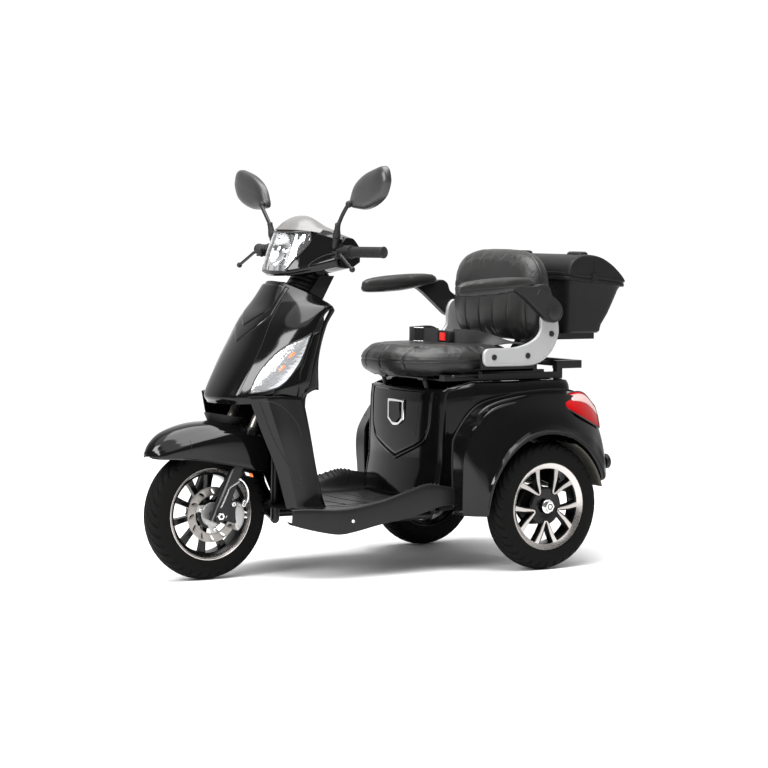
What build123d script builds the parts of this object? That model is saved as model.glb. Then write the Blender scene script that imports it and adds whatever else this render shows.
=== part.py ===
from build123d import *
import os
from math import cos, radians, sin

# Three-wheeled electric mobility scooter, in millimetres. +Z is up, -Y is forward, +X is the rider's
# left. The origin is on the ground, midway along the length and on the centre plane.

# ---------------------------------------------------------------- driving sizes
WHEELBASE = 1047.0
TRACK = 668.0
FRONT_OVERHANG = 211.0      # front axle to the tip of the front mudguard
REAR_OVERHANG = 428.0       # rear axle to the rear edge of the luggage box lid
TYRE_R = 204.0
TYRE_W = 80.0
RIM_R = 140.0
RIM_W = 72.0
HEAD_ANGLE = 65.0           # steering axis above the horizontal
FORK_OFFSET = 30.0          # steering axis behind the fork legs
FORK_SPREAD = 75.0          # centre plane to each fork leg
STANCHION_R = 13.0
SLIDER_R = 19.0
STEM_R = 17.0
AXLE_R = 7.5
SHAFT_R = 12.0
BAR_R = 11.0
GRIP_R = 16.5
DISC_R = 86.0
DISC_T = 3.5
PIVOT_R = 8.0
HINGE_R = 4.0
RUN = 0.05                  # radial running clearance
GAP = 0.6                   # clearance between parts that move past each other
WALL = 4.0                  # moulded covers
SHELL = 3.0                 # thin mudguards
BODY_HALF = 250.0           # half width of the rear body
FLOOR_HALF = 270.0          # half width of the footboard
SEAT_HALF = 235.0
ARCH_GAP = 29.0             # rear tyre to the wheel arch
FENDER_OVER = 51.0          # wheel centre plane to the outside of the rear fender

FRONT_Y = FRONT_OVERHANG - (FRONT_OVERHANG + WHEELBASE + REAR_OVERHANG) / 2
REAR_Y = FRONT_Y + WHEELBASE
AXLE_Z = TYRE_R
WHEEL_X = TRACK / 2
FENDER_X = WHEEL_X + FENDER_OVER
LEAN = (0, cos(radians(HEAD_ANGLE)), sin(radians(HEAD_ANGLE)))
STEER = Plane(origin=(0, FRONT_Y, AXLE_Z), x_dir=(1, 0, 0), z_dir=LEAN).location


# ---------------------------------------------------------------- helpers
def front(dy, dz):
    """A side-view point measured from the front axle."""
    return (FRONT_Y + dy, AXLE_Z + dz)


def rear(dy, dz):
    """A side-view point measured from the rear axle."""
    return (REAR_Y + dy, AXLE_Z + dz)


def block(x0, x1, y0, y1, z0, z1):
    return Pos((x0 + x1) / 2, (y0 + y1) / 2, (z0 + z1) / 2) * Box(x1 - x0, y1 - y0, z1 - z0)


def rod_x(r, x0, x1, point):
    """A round bar along X through a side-view point."""
    return Pos((x0 + x1) / 2, point[0], point[1]) * Rot(0, 90, 0) * Cylinder(r, x1 - x0)


def rod(a, b, r):
    """A round bar between two points."""
    a, b = Vector(*a), Vector(*b)
    run = b - a
    return Plane(origin=a, z_dir=run).location * Pos(0, 0, run.length / 2) * Cylinder(r, run.length)


def side_plate(points, x0, x1):
    """A side-view outline carried across the scooter from x0 to x1."""
    face = make_face(Polyline(*points, close=True))
    return extrude(Plane.YZ.offset(x0) * face, x1 - x0)


def plan_plate(points, z0, z1):
    """A plan outline carried up from z0 to z1."""
    face = make_face(Polyline(*points, close=True))
    return extrude(Plane.XY.offset(z0) * face, z1 - z0)


def loft_x(sections):
    """Straight walls through side-view outlines at several places across."""
    return loft([Plane.YZ.offset(x) * make_face(Polyline(*p, close=True)) for x, p in sections], ruled=True)


def loft_z(sections):
    """Straight walls through plan outlines at several heights."""
    return loft([Plane.XY.offset(z) * make_face(Polyline(*p, close=True)) for z, p in sections], ruled=True)


def bent_tube(points, r, bend):
    path = FilletPolyline(*points, radius=bend)
    return sweep(Plane(origin=path @ 0, z_dir=path % 0) * Circle(r), path=path)


def straight_tube(points, r):
    """Round bars from point to point, with a ball at each turn."""
    shape = rod(points[0], points[1], r)
    for a, b in zip(points[1:], points[2:]):
        shape += rod(a, b, r) + Pos(*a) * Sphere(r)
    return shape


def other_side(shape):
    return mirror(shape, about=Plane.YZ)


def pair(shape):
    return Compound(children=[shape, other_side(shape)])


def group(*shapes):
    return Compound(children=[solid for shape in shapes for solid in shape.solids()])


def shrink(points, by):
    """An outline drawn in towards its middle by about the given distance on each axis."""
    ys, zs = [p[0] for p in points], [p[1] for p in points]
    cy, cz = (min(ys) + max(ys)) / 2, (min(zs) + max(zs)) / 2
    ky = 1 - 2 * by / (max(ys) - min(ys))
    kz = 1 - 2 * by / (max(zs) - min(zs))
    return [(cy + (y - cy) * ky, cz + (z - cz) * kz) for y, z in points]


# ---------------------------------------------------------------- wheels
SPOKE_PAIRS = 5
SPOKE_HUB_TURN = 9.0        # half angle of a spoke pair at the hub
SPOKE_RIM_TURN = 15.0       # and at the rim
SPOKE_W = 13.0
SPOKE_T = 20.0
HUB_R = 34.0
HUB_HALF = 32.0
FLANGE_T = 3.0
BEAD_R = 128.0
WELL_R = 122.0


def tyre():
    """A hollow carcass: bead, bulged side and crown, turned about the axle."""
    bead, side, shoulder = RIM_W / 2 - FLANGE_T - 0.2, TYRE_W / 2, TYRE_W / 2 - 4
    skin = 8.0
    outer = Polyline((-bead, BEAD_R), (-bead, RIM_R + 1.5))
    outer += ThreePointArc((-bead, RIM_R + 1.5), (-side, RIM_R + 25), (-shoulder, TYRE_R - 14))
    outer += ThreePointArc((-shoulder, TYRE_R - 14), (0, TYRE_R), (shoulder, TYRE_R - 14))
    outer += ThreePointArc((shoulder, TYRE_R - 14), (side, RIM_R + 25), (bead, RIM_R + 1.5))
    outer += Polyline((bead, RIM_R + 1.5), (bead, BEAD_R), (bead - skin, BEAD_R), (bead - skin, RIM_R))
    outer += ThreePointArc((bead - skin, RIM_R), (side - skin, RIM_R + 25), (shoulder - skin, TYRE_R - 22))
    outer += ThreePointArc((shoulder - skin, TYRE_R - 22), (0, TYRE_R - 10), (skin - shoulder, TYRE_R - 22))
    outer += ThreePointArc((skin - shoulder, TYRE_R - 22), (skin - side, RIM_R + 25), (skin - bead, RIM_R))
    outer += Polyline((skin - bead, RIM_R), (skin - bead, BEAD_R), (-bead, BEAD_R))
    return revolve(make_face(outer), axis=Axis.X)


def rim(bore_r):
    """Cast wheel: a flanged barrel, a hub and spokes in pairs that open out towards the rim."""
    half, flange = RIM_W / 2, RIM_W / 2 - FLANGE_T
    barrel = revolve(make_face(Polyline(
        (-half, RIM_R), (-flange, RIM_R), (-flange, BEAD_R), (flange, BEAD_R), (flange, RIM_R),
        (half, RIM_R), (half, WELL_R), (-half, WELL_R), close=True)), axis=Axis.X)
    wheel = barrel + rod_x(HUB_R, -HUB_HALF, HUB_HALF, (0, 0))
    for turn in [i * 360 / SPOKE_PAIRS for i in range(SPOKE_PAIRS)]:
        for way in (-1, 1):
            a, b = radians(turn + way * SPOKE_HUB_TURN), radians(turn + way * SPOKE_RIM_TURN)
            start = Vector(0, cos(a), sin(a)) * (HUB_R - 6)
            end = Vector(0, cos(b), sin(b)) * (WELL_R + 3)
            run = end - start
            across = Vector(1, 0, 0).cross(run.normalized()) * (SPOKE_W / 2)
            corners = [start + across, end + across, end - across, start - across]
            wheel += side_plate([(p.Y, p.Z) for p in corners], -SPOKE_T / 2, SPOKE_T / 2)
    return wheel - rod_x(bore_r, -HUB_HALF, HUB_HALF, (0, 0))


DISC_IN = HUB_HALF + 12.0   # inner face of the brake disc
DISC_SLOTS = 12


def brake_disc():
    """A ventilated ring on a spider, bolted against the left end of the front hub."""
    disc = rod_x(DISC_R, DISC_IN, DISC_IN + DISC_T, (0, 0)) - rod_x(DISC_R - 24, DISC_IN, DISC_IN + DISC_T, (0, 0))
    spider = rod_x(HUB_R, HUB_HALF, DISC_IN + DISC_T, (0, 0)) - rod_x(AXLE_R + 9, HUB_HALF, DISC_IN + DISC_T, (0, 0))
    disc += spider
    for turn in range(0, 360, 120):
        arm = block(DISC_IN, DISC_IN + DISC_T, -13, 13, HUB_R - 6, DISC_R - 20)
        disc += Rot(turn + 40, 0, 0) * arm
    for i in range(DISC_SLOTS):
        slot = Pos(0, 0, DISC_R - 12) * Rot(38, 0, 0) * block(DISC_IN, DISC_IN + DISC_T, -2.5, 2.5, -8, 8)
        disc -= Rot(i * 360 / DISC_SLOTS, 0, 0) * slot
    return disc


# ---------------------------------------------------------------- fork, steering and handlebar
SLIDER_LOW, SLIDER_TOP = -22.0, 290.0
STANCHION_LOW = 110.0
CROWN_LOW, CROWN_TOP = 388.0, 412.0
HEAD_LOW, HEAD_TOP = 415.0, 560.0
HEAD_TUBE_R = 27.0
STEM_TOP = 850.0
COLLAR_R = 12.0


def fork_sliders():
    """Lower fork legs with the wheel axle, its collars and nuts, and the lug that carries the caliper."""
    leg = Pos(FORK_SPREAD, 0, (SLIDER_LOW + SLIDER_TOP) / 2) * Cylinder(SLIDER_R, SLIDER_TOP - SLIDER_LOW)
    bore = Cylinder(STANCHION_R + RUN, SLIDER_TOP - STANCHION_LOW + 45)
    leg -= Pos(FORK_SPREAD, 0, (SLIDER_TOP + STANCHION_LOW - 45) / 2) * bore
    leg -= Rot(0, 90, 0) * Cylinder(AXLE_R, 2 * FORK_SPREAD + 4 * SLIDER_R)
    right = other_side(leg)
    lug = block(LUG_IN, LUG_IN + 8, SLIDER_R - 6, 74, 2, 52)
    left = leg + (lug - Pos(FORK_SPREAD, 0, 26) * Cylinder(STANCHION_R + 2, 60))
    reach = FORK_SPREAD + SLIDER_R
    axle = rod_x(AXLE_R, -reach - 9, reach + 9, (0, 0))
    inner = FORK_SPREAD - SLIDER_R
    axle += rod_x(COLLAR_R, HUB_HALF + GAP, inner, (0, 0)) + rod_x(COLLAR_R, -inner, -HUB_HALF - GAP, (0, 0))
    nut = extrude(Plane.YZ.offset(reach) * RegularPolygon(13, 6), 8)
    axle += nut + other_side(nut)
    return STEER * group(left, right, axle)


LUG_IN = 63.0               # inner face of the caliper lug


def brake_caliper():
    """Two pistons' housing that straddles the disc behind the axle, with the hose union on top."""
    body = side_plate([(60, -34), (60, 22), (84, 34), (104, 18), (104, -38), (84, -50)], 36, LUG_IN)
    slot = rod_x(DISC_R + 4, DISC_IN - 1.5, DISC_IN + DISC_T + 1.5, (0, 0))
    body -= slot
    union = rod((50, 96, 8), (50, 116, 16), 4.5)
    return Pos(0, FRONT_Y, AXLE_Z) * (body + union)


def front_fender():
    """A thin guard with an open underside that narrows towards its tip and shrouds the fork legs."""
    half = FORK_SPREAD + SLIDER_R + 6
    tip = -FRONT_OVERHANG
    top = [front(*p) for p in ((tip, 189), (-147, 254), (-68, 278), (21, 283), (100, 276), (165, 236))]
    low = [front(*p) for p in ((165, 128), (17, 160), (-95, 178), (-182, 179))]
    cut = [front(*p) for p in ((tip + 8, 189), (-145, 250), (-67, 275), (21, 280), (99, 273), (162, 234))]
    cut_low = [front(*p) for p in ((162, 100), (-190, 100))]
    plan = [(0, tip), (24, tip), (62, -150), (86, -70), (half, 10), (half, 166), (0, 166)]
    plan_in = [(0, tip + SHELL), (22, tip + SHELL), (59, -149), (83, -69), (half - SHELL, 10), (half - SHELL, 170), (0, 170)]

    def full(points):
        return [(x, FRONT_Y + y) for x, y in points] + [(-x, FRONT_Y + y) for x, y in points[::-1]]

    high, bottom = AXLE_Z + 300, AXLE_Z
    outer = side_plate(top + low, -half, half) & plan_plate(full(plan[1:-1]), bottom, high)
    inner = side_plate(cut + cut_low, -half, half) & plan_plate(full(plan_in[1:-1]), bottom, high)
    guard = outer - inner
    for way in (-1, 1):
        leg = STEER * Pos(way * FORK_SPREAD, 0, 300) * Cylinder(SLIDER_R + 5, 260)
        guard -= leg
        stay = STEER * block(*sorted((way * (FORK_SPREAD + 8), way * (half - 1))), -8, 8, 150, 175)
        guard += stay - STEER * Pos(way * FORK_SPREAD, 0, 160) * Cylinder(SLIDER_R, 80)
    return guard


def steering_stem():
    """Steerer, lower yoke and the two fork stanchions that slide in the lower legs."""
    steerer = Pos(0, FORK_OFFSET, (CROWN_LOW + STEM_TOP) / 2) * Cylinder(STEM_R, STEM_TOP - CROWN_LOW)
    yoke = block(-FORK_SPREAD, FORK_SPREAD, -17, 17, CROWN_LOW, CROWN_TOP)
    yoke += block(-42, 42, 0, FORK_OFFSET + 20, CROWN_LOW, CROWN_TOP)
    for way in (-1, 1):
        yoke += Pos(way * FORK_SPREAD, 0, (CROWN_LOW + CROWN_TOP) / 2) * Cylinder(STANCHION_R + 4, CROWN_TOP - CROWN_LOW)
    stem = steerer + yoke
    for way in (-1, 1):
        length = CROWN_TOP + 20 - STANCHION_LOW
        stem += Pos(way * FORK_SPREAD, 0, STANCHION_LOW + length / 2) * Cylinder(STANCHION_R, length)
    return STEER * stem


BAR_Z, BAR_IN_Z = AXLE_Z + 808, AXLE_Z + 782
BAR_END_X, GRIP_IN_X = 364.0, 240.0
BAR_IN_Y, BAR_MID_Y, BAR_END_Y = FRONT_Y + 380, FRONT_Y + 357, FRONT_Y + 403


def bar_half():
    """Centreline points of the left half of the handlebar."""
    return [(0, BAR_IN_Y, BAR_IN_Z), (110, FRONT_Y + 372, AXLE_Z + 798), (GRIP_IN_X - 46, BAR_MID_Y, BAR_Z - 1),
            (BAR_END_X, BAR_END_Y, BAR_Z)]


def bar_tube():
    left = bar_half()
    return bent_tube([(-x, y, z) for x, y, z in left[:0:-1]] + left, BAR_R, 40)


CLAMP_R = 24.5              # round, so that it turns inside the neck of the leg shield


def handlebar():
    """A swept-back tube held by a clamp on the steerer."""
    bar = bar_tube()
    clamp = STEER * Pos(0, FORK_OFFSET, STEM_TOP - 14) * Cylinder(CLAMP_R, 40)
    clamp -= STEER * Pos(0, FORK_OFFSET, STEM_TOP - 34) * Cylinder(STEM_R, 69)
    cap = STEER * block(-24, 24, FORK_OFFSET - 46, FORK_OFFSET + 10, STEM_TOP + 6, STEM_TOP + 22)
    return bar + clamp + cap


GRIP_START = 48.0           # bend of the bar to the inner end of the grip


def grip_axis():
    """The left grip's inner and outer centre points, and its direction."""
    a, b = Vector(*bar_half()[2]), Vector(*bar_half()[3])
    run = (b - a).normalized()
    return a + run * GRIP_START, b + run * 8, run


def grip(clearance):
    a, b, run = grip_axis()
    end = b - run * 6
    body = rod(a, b, GRIP_R) + rod(a, a + run * 5, GRIP_R + 5)
    return body - rod(a - run, end, BAR_R + clearance)


LEVER_PIVOT = (227, FRONT_Y + 330, AXLE_Z + 796)
LEVER_TIP = (338, FRONT_Y + 312, AXLE_Z + 756)
LEVER_T = 7.0


def control_pod():
    """Left switch and lever housing clamped on the bar beside the grip, with the mirror boss."""
    a, _, run = grip_axis()
    pod = rod(a - run * 26, a - run * 1.5, 20) + rod(a - run * 62, a - run * 25, 15)
    lug = Pos(*LEVER_PIVOT) * Pos(0, 9, 2) * Box(26, 42, 22)
    lug -= Pos(*LEVER_PIVOT) * Pos(0, -4, 2) * Box(70, 34, LEVER_T + 2 * GAP)
    lug -= Pos(*LEVER_PIVOT) * Cylinder(HINGE_R, 60)
    boss = rod(MIRROR_LOW, MIRROR_SEAT, 11)
    return pod + lug + boss - bar_tube()


def control_pods():
    """Both housings and the two lever pins."""
    pin = Pos(*LEVER_PIVOT) * Pos(0, 0, 2) * Cylinder(HINGE_R, 27)
    return group(pair(control_pod()), pair(pin))


def brake_lever():
    """A tapering blade with a ball end, on a pin through the housing's lugs."""
    p, tip = Vector(*LEVER_PIVOT) + Vector(0, 0, 2), Vector(*LEVER_TIP)
    knee = p + Vector(32, -10, 0)
    lever = Pos(*p) * Cylinder(10, LEVER_T) + rod(p, knee, LEVER_T / 2 - 0.1) + rod(knee, tip, 5)
    lever += Pos(*tip) * Sphere(9) + Pos(*knee) * Sphere(5)
    return lever - Pos(*p) * Cylinder(HINGE_R + RUN, 20)


MIRROR_LOW = (181.4, FRONT_Y + 350.4, AXLE_Z + 816.4)
MIRROR_SEAT = (191, FRONT_Y + 348, AXLE_Z + 850)
MIRROR_BOOT = (203, FRONT_Y + 345, AXLE_Z + 892)
MIRROR_ELBOW = (252, FRONT_Y + 344, AXLE_Z + 944)
MIRROR_BALL = (262, FRONT_Y + 350, AXLE_Z + 956)
MIRROR_OUTLINE = [(247, 946), (252, 976), (276, 1013), (330, 1044), (424, 1067), (446, 1052),
                  (452, 1014), (436, 982), (372, 946), (292, 938)]
MIRROR_Y0, MIRROR_Y1 = FRONT_Y + 344, FRONT_Y + 374


def mirror_arm():
    """Rubber-booted foot and thin stem, ending in a ball inside the mirror head."""
    foot = rod(MIRROR_SEAT, MIRROR_BOOT, 8.5)
    foot += rod(MIRROR_BOOT, MIRROR_ELBOW, 5) + Pos(*MIRROR_ELBOW) * Sphere(5)
    return foot + rod(MIRROR_ELBOW, MIRROR_BALL, 5) + Pos(*MIRROR_BALL) * Sphere(7)


def mirror_head():
    """Housing with a rounded front and a glass set in its rear face."""
    points = [(x, AXLE_Z + z) for x, z in MIRROR_OUTLINE]
    def at(y, by):
        return Plane.XZ.offset(-y) * make_face(Polyline(*shrink(points, by), close=True))
    shell = loft([at(MIRROR_Y0, 26), at(MIRROR_Y0 + 10, 7), at(MIRROR_Y1 - 8, 0), at(MIRROR_Y1, 0)], ruled=True)
    pocket = extrude(at(MIRROR_Y1 - 3, 4), -3)
    shell -= pocket
    shell -= Pos(*MIRROR_BALL) * Sphere(7.3)
    shell -= rod(MIRROR_ELBOW, MIRROR_BALL, 11) + Pos(*MIRROR_ELBOW) * Sphere(14)
    return group(shell, pocket)


# ---------------------------------------------------------------- headlight cowl
COWL_HALF = 208.0
COWL_CENTRE = [(238, 729), (230, 750), (262, 864), (300, 892), (372, 884), (434, 840), (440, 760), (340, 729)]
COWL_MIDDLE = [(275, 738), (268, 762), (318, 862), (345, 876), (392, 868), (436, 828), (436, 766), (350, 736)]
COWL_END = [(345, 762), (340, 790), (362, 838), (374, 848), (400, 846), (424, 818), (424, 776), (390, 758)]
LENS = [(-95, 866), (95, 866), (106, 830), (68, 742), (-68, 742), (-106, 830)]
DASH_PLANE_Y = FRONT_Y + 350


def cowl_solid(inset):
    """The cowl's outer form, or its hollow when inset by a wall."""
    def ring(points):
        return shrink([front(*p) for p in points], inset) if inset else [front(*p) for p in points]
    xs = [-COWL_HALF + inset, -100, 0, 100, COWL_HALF - inset]
    rings = [COWL_END, COWL_MIDDLE, COWL_CENTRE, COWL_MIDDLE, COWL_END]
    return loft_x([(x, ring(r)) for x, r in zip(xs, rings)])


def lens_prism():
    pts = [(x, AXLE_Z + z) for x, z in LENS]
    return extrude(Plane.XZ.offset(-(FRONT_Y + 150)) * make_face(Polyline(*pts, close=True)), -180)


NECK_SWEEP_R = 95.0          # the leg shield's neck stays inside this round hole as the bars turn


def cowl_parts():
    """Front cowl, lens and rear dash cover, cut from one hollow form."""
    shell = cowl_solid(0) - cowl_solid(WALL)
    openings = STEER * Pos(0, FORK_OFFSET, 802) * Cylinder(NECK_SWEEP_R, 92)
    openings += STEER * Pos(0, FORK_OFFSET, 836) * Cylinder(NECK_SWEEP_R / 2, 100)
    pod = control_pod() + bar_tube() + rod(MIRROR_LOW, MIRROR_BOOT, 11)
    shell = shell - openings - pod - other_side(pod)
    rear_half = block(-COWL_HALF, COWL_HALF, DASH_PLANE_Y, FRONT_Y + 460, AXLE_Z + 700, AXLE_Z + 940)
    dash = keep_largest(shell & rear_half)
    face = keep_largest(shell - rear_half)
    lens = keep_largest(face & lens_prism())
    face = keep_largest(face - lens_prism())
    out = Vector(*KEY_OUT).normalized()
    barrel = rod(Vector(*KEY_AT) - out * 26, KEY_AT, 10)
    dash = dash - barrel + barrel - rod(Vector(*KEY_AT) - out * 14, Vector(*KEY_AT) + out, 3 + RUN)
    return face, lens, dash


def keep_largest(shape):
    return max(shape.solids(), key=lambda s: s.volume)


def headlight_reflector():
    """A dished reflector with its bulb, behind the lens."""
    axis = Plane(origin=(0, FRONT_Y + 300, AXLE_Z + 792), z_dir=(0, -1, 0.45)).location
    dish = axis * (Cone(26, 48, 26) - Pos(0, 0, 2) * Cone(24, 46, 26))
    bulb = axis * (Pos(0, 0, -4) * Cylinder(9, 18) + Pos(0, 0, 8) * Sphere(8))
    return group(dish - bulb, bulb)


def visor():
    """A tinted deflector that stands on the cowl above the lens."""
    low = [(-118, 392, 872), (118, 392, 872)]
    lower = [(262, 868), (300, 896), (380, 886), (380, 890), (300, 900), (258, 870)]
    plate = loft_x([
        (-118, [front(338, 882), front(392, 875), front(392, 879), front(338, 886)]),
        (0, [front(304, 896), front(344, 917), front(344, 921), front(300, 900)]),
        (118, [front(338, 882), front(392, 875), front(392, 879), front(338, 886)])])
    return plate


KEY_OUT = (0, 0.8, 0.6)
KEY_AT = (-60, FRONT_Y + 440, AXLE_Z + 838)


def ignition_key():
    """Key in the dash lock: a round blade shank, a collar and a flat bow."""
    frame = Plane(origin=KEY_AT, x_dir=(1, 0, 0), z_dir=KEY_OUT).location
    return frame * (Pos(0, 0, -4) * Cylinder(3, 16) + Pos(0, 0, 4) * Cylinder(6, 7) + Pos(0, 0, 17) * Box(22, 3, 20))


# ---------------------------------------------------------------- front apron and leg shield
SHIELD_HALF = 206.0
TUNNEL_HALF = 108.0
NECK_TOP_HALF = 84.0
APRON = [  # height, nose, half width, rear edge: all from the front axle
    (338, 34, 158, 196), (372, 21, 176, 206), (452, 64, 198, 214), (530, 110, 206, 236),
    (594, 149, 207, 266), (642, 184, 207, 306), (716, 235, 206, 322)]
EDGE = [(14, 308), (30, 300), (72, 278), (366, 210), (436, 216), (510, 242), (641, 314)]  # z, y of the shield edge


def apron_ring(z, nose, half, edge, inset):
    rear_edge = edge if not inset else edge + 30
    nose, half = nose + inset, half - inset
    side = [(half, rear_edge), (half * 0.985, nose + 0.50 * (edge - nose)), (half * 0.72, nose + 0.20 * (edge - nose)),
            (half * 0.34, nose + 0.05 * (edge - nose))]
    points = side + [(0, nose)] + [(-x, y) for x, y in side[::-1]]
    return [(x, FRONT_Y + y) for x, y in points]


def front_apron():
    """The tall front shield: a nose that widens upwards, hollow and open at the back and the bottom."""
    outer = loft_z([(AXLE_Z + z, apron_ring(z, n, w, e, 0)) for z, n, w, e in APRON])
    stretched = [(APRON[0][0] - 10, *APRON[0][1:])] + APRON[1:-1] + [(APRON[-1][0] + 10, *APRON[-1][1:])]
    inner = loft_z([(AXLE_Z + z, apron_ring(z, n, w, e, WALL)) for z, n, w, e in stretched])
    skin = outer - inner
    slope = side_plate([front(150, 760), front(150, 722), front(235, 716), front(330, 636), front(420, 636),
                        front(420, 760)], -300, 300)
    skin -= slope
    return keep_largest(skin - signal_cutter() - leg_shield())


SIGNAL = [(352, 556), (262, 548), (176, 458), (84, 384), (150, 372), (270, 420)]


def signal_cutter():
    """The side-view outline of a turn signal, through the apron's flanks only."""
    left = side_plate([front(*p) for p in SIGNAL], 96, 260)
    left &= side_plate([front(60, 362), front(60, 570), front(236, 570), front(176, 362)], 96, 260)
    return left + other_side(left)


def turn_signals():
    """Clear lamp covers let into the apron, one each side."""
    outer = loft_z([(AXLE_Z + z, apron_ring(z, n, w, e, 0)) for z, n, w, e in APRON])
    inner = loft_z([(AXLE_Z + z, apron_ring(z, n, w, e, WALL)) for z, n, w, e in APRON])
    return group(*[s for s in ((outer - inner) & signal_cutter()).solids() if s.volume > 500])


TUNNEL_REAR = [(316, 15), (304, 96), (291, 300), (294, 350), (334, 476)]
NECK_REAR = [(334, 476), (374, 590), (368, 657), (410, 731)]


def leg_shield():
    """Rear panel of the shield: a kinked sheet, a hollow column tunnel and a neck up to the bars."""
    back = [front(y, z) for z, y in EDGE]
    face = [front(y - WALL, z) for z, y in EDGE]
    panel = side_plate(back + face[::-1], -SHIELD_HALF, SHIELD_HALF)
    low_front = [(262, 476), (214, 440), (206, 366), (262, 120), (312, 15)]
    tunnel = side_plate([front(*p) for p in TUNNEL_REAR + low_front], -TUNNEL_HALF, TUNNEL_HALF)
    high_front = [(356, 731), (290, 640), (250, 560), (214, 476)]
    neck = side_plate([front(*p) for p in NECK_REAR + high_front], -NECK_TOP_HALF, NECK_TOP_HALF)
    low = [(TUNNEL_REAR[0][0] - WALL, 5)] + [(y - WALL, z) for y, z in TUNNEL_REAR[1:-1]]
    low += [(332 - WALL, 472), (150, 472), (100, 366), (240, 120), (290, 5)]
    hollow = side_plate([front(*p) for p in low], -TUNNEL_HALF + WALL, TUNNEL_HALF - WALL)
    high = [(330 - WALL, 460)] + [(y - WALL, z) for y, z in NECK_REAR[:-1]] + [(416 - WALL, 745)]
    high += [(300, 760), (180, 640), (140, 460)]
    hollow += side_plate([front(*p) for p in high], -NECK_TOP_HALF + WALL, NECK_TOP_HALF - WALL)
    return panel + tunnel + neck - hollow


BIN_LOW, BIN_TOP = 372.0, 474.0
BIN_HALF = 102.0
BIN_REAR = 340.0
BIN_FRONT = 240.0
COLUMN_HALF = 33.0
DOOR_T = 4.0
DOOR_HALF = BIN_HALF - 14
DOOR_PIN_R = 2.0
DOOR_HINGE = front(BIN_REAR + GAP + 4, BIN_LOW + 12)


def shield_with_bin():
    """Leg shield with the glovebox bin moulded on: shallow behind the column, deep on each side of it."""
    a, b = BIN_LOW, BIN_TOP
    outer = side_plate([front(300, a), front(BIN_REAR, a + 14), front(BIN_REAR, b + 4), front(332, b + 14),
                        front(BIN_FRONT, b + 14), front(BIN_FRONT, a)], -BIN_HALF, BIN_HALF)
    column = side_plate([front(180, 330), front(296, 330), front(298, 400), front(298, b + 24), front(150, b + 24)],
                        -COLUMN_HALF, COLUMN_HALF)
    z0, z1 = AXLE_Z + a + 20, AXLE_Z + b - 2
    hollow = block(-BIN_HALF + WALL, BIN_HALF - WALL, FRONT_Y + 304, FRONT_Y + BIN_REAR + 5, z0, z1)
    pocket = block(COLUMN_HALF + WALL, BIN_HALF - WALL, FRONT_Y + BIN_FRONT + WALL, FRONT_Y + 305, z0, z1)
    shield = keep_largest(leg_shield() + outer - column - hollow - pocket - other_side(pocket))
    y, z = DOOR_HINGE
    ear = block(DOOR_HALF + GAP, DOOR_HALF + 7, FRONT_Y + BIN_REAR - 2, y + 4, z - 5, z + 5)
    shield = shield + ear + other_side(ear)
    return shield + rod_x(DOOR_PIN_R, -DOOR_HALF - 3, DOOR_HALF + 3, DOOR_HINGE)


def side_covers():
    """Fork-side panels that close the gap between the apron, the leg shield and the footboard."""
    outline = [front(60, 362), front(190, -18), front(302, -18), front(EDGE[0][1] - 8, 6), front(EDGE[1][1] - 8, 30),
               front(EDGE[2][1] - 8, 72), front(EDGE[3][1] - 6, 337), front(100, 337)]
    return pair(side_plate(outline, SHIELD_HALF - 10, SHIELD_HALF - 4))


# ---------------------------------------------------------------- footboard and frame
DECK_Z = AXLE_Z + 14
FLOOR_FRONT = FRONT_Y + 190
FLOOR_REAR = REAR_Y - 216
HUMP_Y = REAR_Y - 392


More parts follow.
